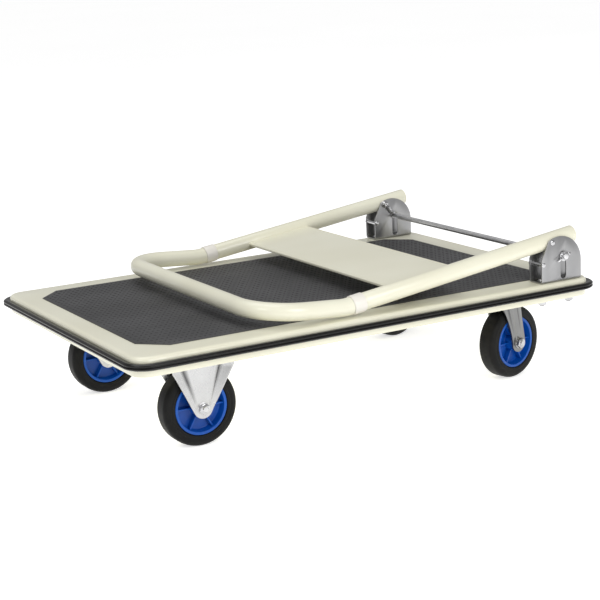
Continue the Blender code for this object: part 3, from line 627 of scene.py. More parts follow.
def ribPattern():  # straight ribs set round a hub
    tree = Pattern("ribPattern", count=6, inner=14.0, outer=42.0, thick=2.2, height=22.0)
    middle = (tree["inner"] + tree["outer"]) / 2
    ring = tree.node("GeometryNodeMeshCircle", None, {"Vertices": tree["count"], "Radius": middle})
    size = tree.vector(tree["outer"] - tree["inner"], tree["thick"], tree["height"])
    rib = tree.node("GeometryNodeMeshCube", None, {"Size": size})
    turn = tree.turnedBy(tree.node("GeometryNodeInputIndex") * math.tau / tree["count"])
    return tree.close(tree.copied(ring, rib, Rotation=turn))


def cornerPattern():  # one thing copied to the four corners of a rectangle
    tree = Pattern("cornerPattern", spanX=80.0, spanY=66.0)
    tree.tree.interface.new_socket("thing", in_out="INPUT", socket_type="NodeSocketObject")
    sizes = {"Size X": tree["spanX"], "Size Y": tree["spanY"], "Vertices X": 2, "Vertices Y": 2}
    grid = tree.node("GeometryNodeMeshGrid", None, sizes)
    thing = tree.node("GeometryNodeObjectInfo", None, {"Object": tree["thing"]}, output="Geometry")
    return tree.close(tree.copied(grid, thing))


def coilPattern():  # the close-wound body of a tension spring, along Z
    tree = Pattern("coilPattern", turns=14.0, radius=3.4, length=19.0, wire=0.6)
    inputs = {
        "Resolution": 20, "Rotations": tree["turns"], "Start Radius": tree["radius"],
        "End Radius": tree["radius"], "Height": tree["length"],
    }
    spiral = tree.node("GeometryNodeCurveSpiral", None, inputs)
    ring = tree.node("GeometryNodeCurvePrimitiveCircle", None, {"Resolution": 8, "Radius": tree["wire"]})
    inputs = {"Curve": spiral, "Profile Curve": ring, "Fill Caps": True}
    return tree.close(tree.node("GeometryNodeCurveToMesh", None, inputs))


def beadPattern():  # overlapping round beads in a line along X, as a weld leaves
    tree = Pattern("beadPattern", count=40, length=120.0, radius=1.7, seed=4)
    inputs = {"Count": tree["count"], "Offset": tree.vector(tree["length"])}
    line = tree.node("GeometryNodeMeshLine", {"mode": "END_POINTS"}, inputs)
    bead = tree.node("GeometryNodeMeshUVSphere", None, {"Segments": 8, "Rings": 5, "Radius": tree["radius"]})
    inputs = {2: 0.85, 3: 1.1, "Seed": tree["seed"]}
    size = tree.node("FunctionNodeRandomValue", {"data_type": "FLOAT"}, inputs, output=1)
    return tree.close(tree.copied(line, bead, Scale=tree.vector(1.25, size, size * 0.6)))


def ballPattern():  # a ring of bearing balls
    tree = Pattern("ballPattern", count=22, radius=23.0, ball=2.4)
    ring = tree.node("GeometryNodeMeshCircle", None, {"Vertices": tree["count"], "Radius": tree["radius"]})
    ball = tree.node("GeometryNodeMeshUVSphere", None, {"Segments": 12, "Rings": 8, "Radius": tree["ball"]})
    return tree.close(tree.copied(ring, ball))


treads, ribs, corners, coils, beads, balls = (
    treadPattern(), ribPattern(), cornerPattern(), coilPattern(), beadPattern(), ballPattern()
)
print("patterns are ready")


# deck

deck = {
    "corner": 40, "wallInset": 12, "topBend": 8, "sheet": 2, "lap": 60,
    "flangeDrop": 3, "flangeReach": 8, "flangeThick": 2.5, "skirtInset": 2,
}
deck["low"], deck["high"] = boxOf("deck_pan")
bumperLow, bumperHigh = boxOf("bumper_strip")


def deckRing(inset, z, steps=14):  # the deck's outline, this far inside the bumper's outer face
    halfX, halfY = bumperHigh.x - inset, bumperHigh.y - inset
    radius = max(deck["corner"] - inset, 1)
    signs = ((1, -1), (1, 1), (-1, 1), (-1, -1))
    outline = rounded([(signX * halfX, signY * halfY, radius) for signX, signY in signs], steps)
    return [(x, y, z) for x, y in outline]


def makeDeckPan():
    wall, sheet, reach = deck["wallInset"], deck["sheet"], deck["flangeReach"]
    top, bottom = deck["high"].z, deck["low"].z
    skirt = wall + deck["skirtInset"]
    flangeTop = bumperHigh.z - deck["flangeDrop"]
    flangeLow = flangeTop - deck["flangeThick"]
    section = (
        (wall + deck["lap"], top, 0),
        (wall, top, deck["topBend"]),
        (wall, flangeTop, 0.8),
        (wall - reach, flangeTop, 0.9),
        (wall - reach, flangeLow, 0.9),
        (skirt, flangeLow, 1),
        (skirt, bottom, 0.8),
        (skirt + sheet, bottom, 0.8),
        (skirt + sheet, top - sheet, deck["topBend"] - sheet),
        (wall + deck["lap"], top - sheet, 0),
    )
    rings = [deckRing(inset, z) for inset, z in rounded(section, 6)]
    settle("deckPan", loft(rings), creamPaint, "deck", ["deck_pan"], sharp=50)


bumper = {
    "lip": 0.9, "gapTop": 2.7, "gapLow": 5.8, "gapEnd": 3.8, "shoulder": 3.6, "round": 2.2,
    "groove": 2.2, "grooveMouth": 1.3, "grooveFloor": 0.5,
}


def makeBumper():
    inner = deck["wallInset"] - 0.3
    top, bottom = bumperHigh.z, bumperLow.z
    middle = (top + bottom) / 2
    lip, shoulder, corner = bumper["lip"], bumper["shoulder"], bumper["round"]
    gapTop, gapLow, gapEnd = top - bumper["gapTop"], top - bumper["gapLow"], bumper["gapEnd"]
    groove, mouth, bed = bumper["groove"], bumper["grooveMouth"], bumper["grooveFloor"]
    section = (
        (inner, top - lip, 0.5),
        (inner, gapTop, 0.2),
        (gapEnd, gapTop, 0.2),
        (gapEnd, gapLow, 0.2),
        (inner, gapLow, 0.2),
        (inner, bottom + lip, 0.5),
        (shoulder, bottom, 2.2),
        (0, bottom + corner, 1.6),
        (0, middle - mouth, 0.7),
        (groove, middle - bed, 0.4),
        (groove, middle + bed, 0.4),
        (0, middle + mouth, 0.7),
        (0, top - corner, 1.6),
        (shoulder, top, 2.2),
    )
    rings = [deckRing(inset, z, 20) for inset, z in rounded(section, 4)]
    settle("bumperStrip", loft(rings, closed=True), bumperRubber, "deck", ["bumper_strip"])


def makeMat():
    low, high = mat["low"], mat["high"]
    cut, corner = mat["cut"], mat["corner"]
    outline = rounded((
        (high.x, low.y + cut, corner), (high.x, high.y - cut, corner), (high.x - cut, high.y, corner),
        (low.x + cut, high.y, corner), (low.x, high.y - cut, corner), (low.x, low.y + cut, corner),
        (low.x + cut, low.y, corner), (high.x - cut, low.y, corner),
    ))
    work = extruded(outline, low.z - 0.2, mat["baseTop"])
    settle("matSheet", work, matRubber, "deck", ["anti_slip_mat"], bevel=mat["bevel"])
    middle, size = (low + high) / 2, high - low
    sink = 0.02  # the studs start just below the sheet's top face
    studs = treads.grow(
        matRubber,
        length=size.x - 2 * mat["plain"], width=size.y - 2 * mat["plain"], cut=cut - 4,
        rise=mat["edge"] + sink, pitchX=mat["pitchX"], pitchY=mat["pitchY"], tilt=math.radians(mat["tilt"]),
    )
    moved(studs, shift(middle.x, middle.y, mat["baseTop"] - sink))
    settle("matTread", studs, matRubber, "deck")


def paintFrame():  # the rails and beams under the deck keep their CAD meshes
    for node in ("side_rail_left", "side_rail_right", "cross_beam_front", "cross_beam_rear"):
        frame["nodes"][node].data.materials.clear()
        frame["nodes"][node].data.materials.append(creamPaint.material)


makeDeckPan()
makeBumper()
makeMat()
paintFrame()
print("deck, bumper and mat are made")


# handle brackets and their fasteners

bracket = {
    "sheet": 2.5, "bend": 4.5, "arc": 47, "frontTop": 230, "shoulder": 349, "slotHalf": 6, "travel": 34,
}
bracketLow, bracketHigh = boxOf("bracket_left")
pivot = jointPlace("handle_fold")
bar = middleOf("release_bar")
stop = middleOf("stop_pin_left")


def cheekOutline():  # straight front, slanted shoulder and round back
    arc, foot = bracket["arc"], bracketLow.z - 1
    centre = Vector((bracketHigh.x - arc, bracketHigh.z - arc))
    end = math.acos((bracket["shoulder"] - centre.x) / arc)
    outline = rounded(((bracketLow.x, foot, 0), (bracketHigh.x, foot, 0), (bracketHigh.x, centre.y, 0)))
    steps = 28
    for step in range(1, steps + 1):
        turn = end * step / steps
        outline.append(centre + arc * Vector((math.cos(turn), math.sin(turn))))
    return outline + [Vector((bracketLow.x, bracket["frontTop"]))]


def channelSection(half):
    sheet, bend, top = bracket["sheet"], bracket["bend"], bracketHigh.z + 5
    base = bracketLow.z
    inner = half - sheet
    return rounded((
        (-half, top, 0), (-half, base, bend), (half, base, bend), (half, top, 0),
        (inner, top, 0), (inner, base + sheet, bend - sheet),
        (-inner, base + sheet, bend - sheet), (-inner, top, 0),
    ))


def slotOutline():  # round at the bar's highest and lowest places
    r, low = bracket["slotHalf"], bar.z - bracket["travel"]
    return rounded((
        (bar.x - r, bar.z + r, r), (bar.x - r, low - r, r),
        (bar.x + r, low - r, r), (bar.x + r, bar.z + r, r),
    ), 10)


def makeBrackets():
    half = (bracketHigh.y - bracketLow.y) / 2
    for name in sides:
        node = "bracket_" + name
        work = extruded(channelSection(half), bracketLow.x - 2, bracketHigh.x + 2, "yz")
        work = carved(work, extruded(cheekOutline(), -40, 40, "xz"), "INTERSECT")
        work = carved(work, extruded(slotOutline(), -30, 30, "xz"))
        moved(work, shift(0, middleOf(node).y, 0))
        settle("bracket" + name.title(), work, bracketZinc, "deck", [node], bevel=0.35)


stopPin = {"radius": 3.5, "head": 4.5, "headHeight": 1.5}
pivotBolt = {"radius": 4, "head": 5, "headHeight": 2.4, "tail": 7.6, "washer": 7.6, "nut": 12}
baseBolt = {"radius": 3.9, "head": 6.8, "washer": 8.5, "nut": 14.5, "nutStart": 2.2}


def makeBracketPins():
    half = (bracketHigh.y - bracketLow.y) / 2
    headOf = {"radius": stopPin["head"], "low": half, "height": stopPin["headHeight"]}
    for name, side in sides.items():
        y = middleOf("bracket_" + name).y
        outward = (0, side, 0)
        shank = pin(stopPin["radius"], -half - 0.2, half + 0.2, 0.3)
        inner = moved(dome(**headOf), Matrix.Rotation(math.pi, 4, "X"))
        work = moved(together(shank, dome(**headOf), inner), along(outward, (stop.x, y, stop.z)))
        settle("stopPin" + name.title(), work, brightSteel, "deck", ["stop_pin_" + name])
        work = together(
            pin(pivotBolt["radius"], -half - pivotBolt["tail"], half + 1, 0.6),
            dome(pivotBolt["head"], half, pivotBolt["headHeight"]),
            washer(pivotBolt["radius"] + 0.2, pivotBolt["washer"], -half - 1.2, -half - 0.1),
            hexagon(pivotBolt["nut"], -half - 4.4, -half - 1.2),
        )
        moved(work, along(outward, (pivot.x, y, pivot.z)))
        node = "pivot_bolt_" + name
        settle("pivotBolt" + name.title(), work, brightSteel, "deck", [node])


def makeBaseBolts():
    floorTop = bracketLow.z + bracket["sheet"]
    under = deck["low"].z
    radius = baseBolt["radius"]
    for name in sides:
        for end in ("front", "rear"):
            node = f"bracket_bolt_{name}_{end}"
            low, high = boxOf(node)
            work = together(
                washer(radius + 0.3, baseBolt["washer"] - 0.1, floorTop, floorTop + 1.4),
                dome(baseBolt["head"], floorTop + 1.4, high.z - floorTop - 1.4),
                pin(radius, low.z + 2, floorTop + 2),
                washer(radius + 0.3, baseBolt["washer"] + 0.1, under - 1.8, under),
                hexagon(baseBolt["nut"], low.z + baseBolt["nutStart"], under - 1.8),
                thread(radius + 0.1, low.z, low.z + 2.6),
            )
            middle = (low + high) / 2
            piece = f"baseBolt{name.title()}{end.title()}"
            moved(work, shift(middle.x, middle.y, 0))
            settle(piece, work, brightSteel, "deck", [node])


makeBrackets()
makeBracketPins()
makeBaseBolts()
print("brackets are made")


# release bar, its split pins and springs

release = {
    "bar": 5, "washer": 9, "washerThick": 1.6, "wire": 1.1, "eye": 3, "coil": 3.4, "springWire": 0.6,
    "coilStart": 8.2, "coilEnd": 8.6, "pivotHook": 4.6, "barHook": 6.0,
}


def makeReleaseBar():
    reach = -boxOf("bar_end_left")[0].y
    bore, face = release["bar"] + 0.1, -bracketLow.y
    work = moved(pin(release["bar"], -reach, reach, 1), along(yAxis, bar))
    settle("releaseBar", work, barSteel, "release", ["release_bar"])
    for name, side in sides.items():
        ring = washer(bore, release["washer"], face + 0.3, face + 0.3 + release["washerThick"])
        shoulder = washer(bore, release["bar"] + 1.4, face + 1.9, face + 2.8)
        work = moved(together(ring, shoulder), along((0, side, 0), (bar.x, 0, bar.z)))
        settle("barWasher" + name.title(), work, brightSteel, "release", ["bar_end_" + name])


def makeSplitPins():  # a wire eye on one side of the bar and two spread legs on the other
    wire, eyeRadius = release["wire"], release["eye"]
    for name in sides:
        node = "cotter_pin_" + name
        middle = middleOf(node)
        place = Vector((bar.x, middle.y, bar.z))
        down = (middle - place).normalized()
        across = down.cross(yAxis).normalized()
        turns = [math.radians(20 + 320 * step / 16) for step in range(17)]
        eye = []
        for turn in turns:
            rise = down * (9.5 - eyeRadius * math.cos(turn))
            eye.append(place - rise + yAxis * (eyeRadius * math.sin(turn)))
        works = [swept(eye, wire, 10)]
        for hand, length, spread in ((-1, 17.5, 1.2), (1, 15.5, 0.4)):
            legRoute = [
                eye[0 if hand > 0 else -1],
                place - down * 5.6 + yAxis * hand * wire,
                place + down * 4.5 + yAxis * hand * wire,
                place + down * 9 + yAxis * hand * (wire + spread * 0.35) + across * hand * 1.4,
                place + down * length + yAxis * hand * (wire + spread) + across * hand * 2.6,
            ]
            works.append(swept(legRoute, wire, 10))
        settle("splitPin" + name.title(), together(*works), brightSteel, "release", [node])


def springHook(centre, first, ring, hand):  # a round hook at one end, running into the coil
    radius = release["coil"]
    route = [Vector((radius, 0, first)), Vector((radius * 0.9, 0, first - hand * 0.9))]
    for step in range(19):
        turn = math.radians(300 * step / 18 - 90)
        route.append(Vector((-ring * math.sin(turn), 0, centre + hand * ring * math.cos(turn))))
    return swept(route, release["springWire"], 8)


def makeSprings():
    reach = Vector((bar.x - pivot.x, 0, bar.z - pivot.z))
    start, end = release["coilStart"], reach.length - release["coilEnd"]
    wire, radius = release["springWire"], release["coil"]
    for name in sides:
        node = "return_spring_" + name
        y = middleOf(node).y
        body = coils.grow(springSteel, turns=13.0, radius=radius, length=end - start, wire=wire)
        moved(body, shift(0, 0, start))
        pivotHook = springHook(0, start, release["pivotHook"], 1)
        barHook = springHook(reach.length, end, release["barHook"], -1)
        work = moved(together(body, pivotHook, barHook), along(reach, (pivot.x, y, pivot.z)))
        ends = (Vector((point.x, y, point.z)) * mm for point in (pivot, bar))
        blend = ("deck", "release", *ends)
        settle("returnSpring" + name.title(), work, springSteel, blend, [node])


makeReleaseBar()
makeSplitPins()
makeSprings()
print("release bar is made")


# handle

handle = {
    "tube": 14.9, "wall": 1.8, "tail": 56.4, "bendX": -60, "bendZ": 205.2, "bend": 90, "corner": 80,
    "gripZ": 217, "gap": 0.3,
}
plug = {"length": 8.6, "inset": 1.4, "gap": 0.1}
collar = {"length": 23, "radius": 16.4, "spigot": 12.4, "spigotReach": 9}
panel = {"top": 1, "lip": 5, "sheet": 2, "length": 134.1, "hem": 5, "hemDepth": 0.9, "hemHalf": 0.5}
weld = {"beads": 62, "radius": 1.3, "short": 3, "lean": 40}
armAlong = (middleOf("end_plug_left") - middleOf("grip_collar_left")).normalized()
armUp = armAlong.cross(yAxis)


def onArm(y):  # the arm's own axes, with the pivot as the origin and X towards the tail
    turn = Matrix((armAlong, yAxis, armUp)).transposed().to_4x4()
    return Matrix.Translation((pivot.x, y, pivot.z)) @ turn


def makeArms():
    radius, wall, tail = handle["tube"], handle["wall"], handle["tail"]
    front = (middleOf("grip_collar_left") - pivot).dot(armAlong) + collar["length"] / 2 + handle["gap"]
    section = rounded((
        (radius - wall, front, 0), (radius, front, 0.5), (radius, tail, 0.9), (radius - wall, tail, 0.5),
    ), 3)
    plugRadius, plugEnd = radius - wall - plug["gap"], tail - plug["inset"]
    plugStart = plugEnd - plug["length"]
    plugSection = rounded((
        (0.1, plugStart, 0), (plugRadius, plugStart, 1), (plugRadius, plugEnd, 0.8), (0.1, plugEnd, 0),
    ), 3)
    for name in sides:
        place = onArm(middleOf("arm_" + name).y) @ along(xAxis)
        work = moved(turned(section, 64, closed=True), place)
        settle("arm" + name.title(), work, creamPaint, "handle", ["arm_" + name])
        work = moved(turned(plugSection, 40), place)
        settle("endPlug" + name.title(), work, plugPlastic, "handle", ["end_plug_" + name])


def makeCollars():
    half, radius, seat = collar["length"] / 2, collar["radius"], handle["tube"] - 0.6
    spigot, reach = collar["spigot"], collar["length"] / 2 + collar["spigotReach"]
    section = rounded((
        (spigot, -reach, 0), (spigot, -half + 2, 0), (seat, -half, 0), (radius, -half, 1.1),
        (radius, half, 1.1), (seat, half, 0), (spigot, half - 2, 0), (spigot, reach, 0),
    ), 4)
    for name in sides:
        node = "grip_collar_" + name
        work = moved(turned(section, 64), along(armAlong, middleOf(node)))
        settle("gripCollar" + name.title(), work, collarPlastic, "handle", [node], sharp=50)


def makeGrip():
    joint = middleOf("grip_collar_right")
    start = joint - armAlong * (collar["length"] / 2 + handle["gap"])
    front = boxOf("grip_tube")[0].x + handle["tube"] + 0.1
    route = [(start.x, start.z), (handle["bendX"], handle["bendZ"]), (front, handle["gripZ"])]
    points = [(x, -joint.y, z) for x, z in route] + [(x, joint.y, z) for x, z in reversed(route)]
    path = filleted(points, (handle["bend"], handle["corner"], handle["corner"], handle["bend"]), 3)
    work = swept(path, handle["tube"], 48)
    settle("gripTube", work, creamPaint, "handle", ["grip_tube"], sharp=50)


def makePanel():
    y = middleOf("arm_right").y
    middle = (middleOf("handle_panel") - pivot).dot(armAlong)
    front, rear = middle - panel["length"] / 2, middle + panel["length"] / 2
    top, sheet, hem = panel["top"], panel["sheet"], panel["hem"]
    lip, dip, half = top - panel["lip"], top - panel["hemDepth"], panel["hemHalf"]
    section = rounded((
        (front, lip, 0.8), (front, top, 2.2), (front + hem - half, top, 0.4), (front + hem, dip, 0.2),
        (front + hem + half, top, 0.4), (rear - hem - half, top, 0.4), (rear - hem, dip, 0.2),
        (rear - hem + half, top, 0.4), (rear, top, 2.2), (rear, lip, 0.8), (rear - sheet, lip, 0.5),
        (rear - sheet, top - sheet, 0.8), (front + sheet, top - sheet, 0.8), (front + sheet, lip, 0.5),
    ), 5)
    reach = y - handle["tube"] + 0.8
    work = moved(extruded(section, -reach, reach, "xz"), onArm(0))
    settle("handlePanel", work, creamPaint, "handle", ["handle_panel"], sharp=50)
    length, count, radius = rear - front - 2 * weld["short"], weld["beads"], weld["radius"]
    for name, side in sides.items():
        lean = Matrix.Rotation(math.radians(side * weld["lean"]), 4, "X")
        lay = onArm(side * (y - handle["tube"])) @ shift(front + weld["short"], 0, top) @ lean
        work = beads.grow(creamPaint, count=count, length=length, radius=radius, seed=3 + side)
        settle("panelWeld" + name.title(), moved(work, lay), creamPaint, "handle")


makeArms()
makeCollars()
makeGrip()
makePanel()
print("handle is made")


# casters, made about the axis of their plate, with X along the trail

wheel = {"radius": 66, "half": 18, "seat": 44, "boss": 20, "bossRadius": 15.5, "bore": 9}
tyre = {
    "seatHalf": 13, "lip": 48, "bead": 52, "beadEnd": 52.6, "beadStep": 0.5, "wallTop": 57,
    "treadInset": 2.5,
}
hub = {
    "webRadius": 40.2, "webHalf": 2.2, "rimRadius": 41.6, "rimHalf": 16.6,
    "ribThick": 2.2, "ribHeight": 25.0,
}
bush = {"inner": 5.4, "outer": 8.7, "half": 20.4}
axleBolt = {"radius": 5, "washer": 10.2, "nut": 17, "washerThick": 1.4, "nutEnd": 7.2, "threadEnd": 9.6}
fork = {"sheet": 3, "inner": 21.5, "tip": 17, "columns": 40}
fixedFork = {
    "topLow": -54.5, "topHigh": 54.5, "shoulderZ": 134, "topZ": 158.2, "axleX": 0, "bend": 9, "bow": 0,
    "ridge": 3.0, "channel": (0.53, 0.61), "flare": 10.5, "flank": 0.60,
}
swivelFork = {
    "topLow": -12, "topHigh": 44, "shoulderZ": 150, "topZ": 150, "axleX": 37, "bend": 8, "bow": 8,
    "ridge": 2.2, "channel": (0.34, 0.44), "flare": -3.4, "flank": 0.62,
}
plate = {"width": 84, "thick": 2.5, "corner": 7, "spanX": 84.0, "spanY": 66.0}
plate["length"] = (boxOf("swivel_plate_left")[1] - boxOf("swivel_plate_left")[0]).x
axleZ = jointPlace("wheel_front_left_roll").z


def makeTyre(corner, place, about):
    radius, seat, base = wheel["radius"], wheel["seat"] + 0.3, tyre["seatHalf"]
    half, wall, tread = wheel["half"], wheel["half"] - tyre["beadStep"], wheel["half"] - tyre["treadInset"]
    lip, bead, beadEnd, wallTop = tyre["lip"], tyre["bead"], tyre["beadEnd"], tyre["wallTop"]
    section = rounded((
        (seat, base, 0), (seat, -base, 0), (lip, -half, 0.8), (bead, -half, 0.5), (beadEnd, -wall, 0.5),
        (wallTop, -wall, 2), (radius, -tread, 8.5), (radius, tread, 8.5), (wallTop, wall, 2),
        (beadEnd, wall, 0.5), (bead, half, 0.5), (lip, half, 0.8),
    ), 6)
    work = moved(turned(section, 96, closed=True), place @ along(yAxis))
    settle(corner + "Tyre", work, tyreRubber, about["body"], [about["node"] + "_tyre"])


def hubSection():
    seat, boss, bossRadius = wheel["seat"], wheel["boss"], wheel["bossRadius"]
    webHalf, rimHalf = hub["webHalf"], hub["rimHalf"]
    half = (
        (wheel["bore"], -boss, 0.5), (bossRadius - 1.2, -boss, 0.8),
        (bossRadius, -webHalf - 0.8, 1.5), (hub["webRadius"], -webHalf, 2.5),
        (hub["rimRadius"], -rimHalf, 0.6), (seat + 2.6, -rimHalf - 0.4, 0.7),
        (seat + 2.2, -rimHalf + 1.2, 0.3), (seat, -tyre["seatHalf"] + 0.6, 0),
    )
    return rounded(half + tuple((r, -y, fillet) for r, y, fillet in reversed(half)), 4)


def makeHub(corner, place, about):
    body, node = about["body"], about["node"]
    place = place @ along(yAxis)
    work = moved(turned(hubSection(), 96, closed=True), place)
    settle(corner + "Hub", work, hubPlastic, body, [node + "_hub"])
    inner, outer = wheel["bossRadius"] - 2, hub["rimRadius"]
    work = ribs.grow(hubPlastic, inner=inner, outer=outer, thick=hub["ribThick"], height=hub["ribHeight"])
    settle(corner + "HubRibs", moved(work, place), hubPlastic, body, bevel=0.4)
    inner, outer, half = bush["inner"], bush["outer"], bush["half"]
    section = rounded(((inner, -half, 0.4), (outer, -half, 0.5), (outer, half, 0.5), (inner, half, 0.4)), 3)
    work = moved(turned(section, 40, closed=True), place)
    settle(corner + "Bush", work, bushPlastic, body, [node + "_bush"])


def makeAxle(corner, place, body, node):
    face = fork["inner"] + fork["sheet"]
    nutStart, nutEnd = face + axleBolt["washerThick"], face + axleBolt["nutEnd"]
    radius = axleBolt["radius"]
    works = [pin(radius, -face - 2, face + 2, 0.4)]
    for hand in (-1, 1):
        turn = Matrix.Rotation(0 if hand > 0 else math.pi, 4, "X")
        works += [
            moved(washer(radius + 0.1, axleBolt["washer"], face, nutStart), turn),
            moved(hexagon(axleBolt["nut"], nutStart, nutEnd), turn @ Matrix.Rotation(0.3, 4, "Z")),
            moved(thread(radius, nutEnd - 0.6, face + axleBolt["threadEnd"]), turn),
        ]
    work = moved(together(*works), place @ along(yAxis))
    nodes = [node + "_axle_bolt", node + "_axle_nut"]
    settle(corner + "Axle", work, brightSteel, body, nodes)


def smooth(value, low, high):
    share = min(max((value - low) / (high - low), 0), 1)
    return share * share * (3 - 2 * share)


def legEdges(shape):  # where a leg's two straight edges leave its round tip, as turns about the axle
    axle = Vector((shape["axleX"], axleZ))
    turns = []
    for x, hand in ((shape["topLow"], 1), (shape["topHigh"], -1)):
        away = Vector((x, shape["shoulderZ"])) - axle
        turns.append(math.atan2(away.y, away.x) + hand * math.acos(fork["tip"] / away.length))
    return axle, turns[0], turns[1] + math.tau


def legRows(shape):  # pairs of edge points from the tip up to the bend, as (low, high, share of the way up)
    axle, start, end = legEdges(shape)
    bottom = (start + end) / 2
    rows = []
    for step in range(9):
        share = 0.97 * (1 - step / 8)
        turns = (start + (bottom - start) * share, end - (end - bottom) * share)
        low, high = (axle + fork["tip"] * Vector((math.cos(t), math.sin(t))) for t in turns)
        rows.append((low, high, 0.0))
    tangents = rows[-1][:2]
    shoulders = [Vector((shape[end], shape["shoulderZ"])) for end in ("topLow", "topHigh")]
    steps = 16
    for step in range(1, steps + 1):
        share = step / steps
        low, high = (tangent.lerp(shoulder, share) for tangent, shoulder in zip(tangents, shoulders))
        low.x += shape["bow"] * 4 * share * (1 - share)
        rows.append((low, high, share))
    for step in range(1, 4):
        z = shape["shoulderZ"] + (shape["topZ"] - shape["shoulderZ"]) * step / 4
        rows.append((Vector((shape["topLow"], z)), Vector((shape["topHigh"], z)), 1.0))
    return rows


def forkStations(shape):  # rows of the outer skin from a leg's tip to the middle of the crown
    outer = fork["inner"] + fork["sheet"]
    bend, top = shape["bend"], shape["topZ"]
    stations = []
    for low, high, share in legRows(shape):
        if low.y >= top - bend:
            break
        emboss = smooth(share, 0.02, 0.3)
        stations.append((low.x, high.x, -outer, low.y, high.y, Vector((0, -1, 0)), emboss, share))
    for step in range(1, 8):
        turn = math.pi / 2 * step / 7
        y = -outer + bend * (1 - math.cos(turn))
        z = top - bend * (1 - math.sin(turn))
        normal = Vector((0, -math.cos(turn), math.sin(turn)))
        stations.append((shape["topLow"], shape["topHigh"], y, z, z, normal, math.cos(turn), 1.0))
    stations.append((shape["topLow"], shape["topHigh"], 0, top, top, Vector((0, 0, 1)), 0, 1.0))
    return stations


def forkRing(shape, station, mirrored):
    lowX, highX, y, lowZ, highZ, normal, emboss, share = station
    hand = -1 if mirrored else 1
    columns = fork["columns"]
    faces = ([], [])
    for column in range(columns + 1):
        u = 2 * column / columns - 1
        ridge = shape["ridge"] * (1 - smooth(abs(u), *shape["channel"]))
        flare = shape["flare"] * share * max((abs(u) - shape["flank"]) / (1 - shape["flank"]), 0) ** 1.2
        x = lowX + (highX - lowX) * (u + 1) / 2
        z = lowZ + (highZ - lowZ) * (u + 1) / 2
        skin = Vector((x, y, z)) + normal * emboss * (ridge + flare)
        for face, depth in zip(faces, (0, fork["sheet"])):
            point = skin - normal * depth
            face.append(Vector((point.x, hand * point.y, point.z)))
    return faces[0] + faces[1][::-1]


def forkWork(shape):
    stations = forkStations(shape)
    rings = [forkRing(shape, station, False) for station in stations]
    rings += [forkRing(shape, station, True) for station in reversed(stations[:-1])]
    work = loft(rings)
    layer = work.loops.layers.uv.new("legs")
    rise = shape["shoulderZ"] - axleZ
    for face in work.faces:
        for loop in face.loops:
            share = min(max((loop.vert.co.z - axleZ) / rise, 0), 1)
            low = shape["axleX"] - fork["tip"] + share * (shape["topLow"] - shape["axleX"] + fork["tip"])
            high = shape["axleX"] + fork["tip"] + share * (shape["topHigh"] - shape["axleX"] - fork["tip"])
            loop[layer].uv = (2 * (loop.vert.co.x - low) / (high - low) - 1, share)
    return work


def plateWork(low):
    halfX, halfY, corner = plate["length"] / 2, plate["width"] / 2, plate["corner"]
    outline = rounded((
        (halfX, -halfY, corner), (halfX, halfY, corner), (-halfX, halfY, corner), (-halfX, -halfY, corner)
    ), 5)
    return extruded(outline, low, low + plate["thick"])


def makePlateBolts(name, place, low):
    bolt = objectFrom(together(washer(3, 7, -1.6, -0.1), hexagon(11, -6.2, -1.6), pin(4, -6.6, 0, 0.3)))
    work = corners.grow(brightSteel, spanX=plate["spanX"], spanY=plate["spanY"], thing=bolt)
    bpy.data.objects.remove(bolt, do_unlink=True)
    moved(work, place @ shift(0, 0, low))
    settle(name + "PlateBolts", work, brightSteel, "deck")


def makeWheel(corner, axle, about, axleBody):
    makeTyre(corner, axle, about)
    makeHub(corner, axle, about)
    makeAxle(corner, axle, axleBody, about["node"])


def makeFixedCasters():
    for name in sides:
        node, corner = "fixed_fork_" + name, "front" + name.title()
        low, high = boxOf(node)
        place = shift((low.x + high.x) / 2, (low.y + high.y) / 2, 0)
        top = high.z - plate["thick"]
        work = moved(together(forkWork(fixedFork), plateWork(top)), place)
        piece = "fixedFork" + name.title()
        settle(piece, work, forkZinc, "deck", [node], sharp=45, bevel=0.3)
        makePlateBolts(corner, place, top)
        about = {"body": "wheel_front_" + name, "node": "front_" + name}
        makeWheel(corner, Matrix.Translation(jointPlace(f"wheel_front_{name}_roll")), about, "deck")


head = {
    "top": 31, "waist": 27.5, "foot": 23.5, "kingPin": 6, "nut": 17, "nutHeight": 3.6,
    "race": 25.2, "ball": 1.9,
}


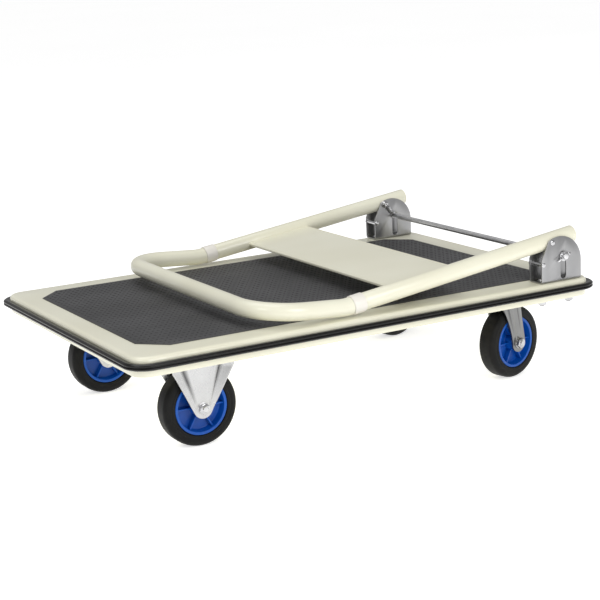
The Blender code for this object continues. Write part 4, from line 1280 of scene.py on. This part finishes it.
def swivelHead(low, crown):  # the pressed bearing cup under the plate, down to the fork's crown
    foot = crown + 0.4
    return turned(rounded((
        (0.1, low + 1, 0), (head["top"], low + 1, 1), (head["top"], low - 1.5, 1),
        (head["waist"], crown + 2.2, 1.5), (head["foot"], foot, 0.8), (0.1, foot, 0),
    ), 4), 64)


def kingPinWork(crown):  # the pin through the head, with its washer and nut below the crown
    radius, nutStart = head["kingPin"], 1.6
    nutEnd = nutStart + head["nutHeight"]
    nut = together(
        washer(radius + 0.2, 10.5, 0.2, nutStart), hexagon(head["nut"], nutStart, nutEnd),
        dome(radius - 0.5, nutEnd - 0.2, 2.0),
    )
    moved(nut, shift(0, 0, crown - fork["sheet"]) @ Matrix.Rotation(math.pi, 4, "X"))
    return together(pin(radius, crown - 6, crown + 4, 0.4), nut)


def makeSwivelCasters():
    crown = swivelFork["topZ"]
    for name in sides:
        node, forkNode = "swivel_plate_" + name, "swivel_fork_" + name
        body, corner = "swivel_" + name, "rear" + name.title()
        place = Matrix.Translation((*jointPlace(f"swivel_{name}_turn").xy, 0))
        top = boxOf(node)[1].z - plate["thick"]
        work = moved(together(plateWork(top), swivelHead(top, crown), kingPinWork(crown)), place)
        settle("swivelPlate" + name.title(), work, forkZinc, "deck", [node], sharp=45)
        makePlateBolts(corner, place, top)
        axis = Vector(joints[f"wheel_rear_{name}_roll"]["axis"])
        turn = Matrix.Rotation(math.atan2(-axis.x, axis.y), 4, "Z")
        work = moved(forkWork(swivelFork), place @ turn)
        piece = "swivelFork" + name.title()
        settle(piece, work, swivelZinc, body, [forkNode], sharp=45, bevel=0.3)
        work = balls.grow(brightSteel, radius=head["race"], ball=head["ball"])
        moved(work, place @ shift(0, 0, crown + 2.0))
        settle("ballRace" + name.title(), work, brightSteel, body)
        about = {"body": "wheel_rear_" + name, "node": "rear_" + name}
        makeWheel(corner, Matrix.Translation(jointPlace(f"wheel_rear_{name}_roll")) @ turn, about, body)


makeFixedCasters()
makeSwivelCasters()
print("casters are made")
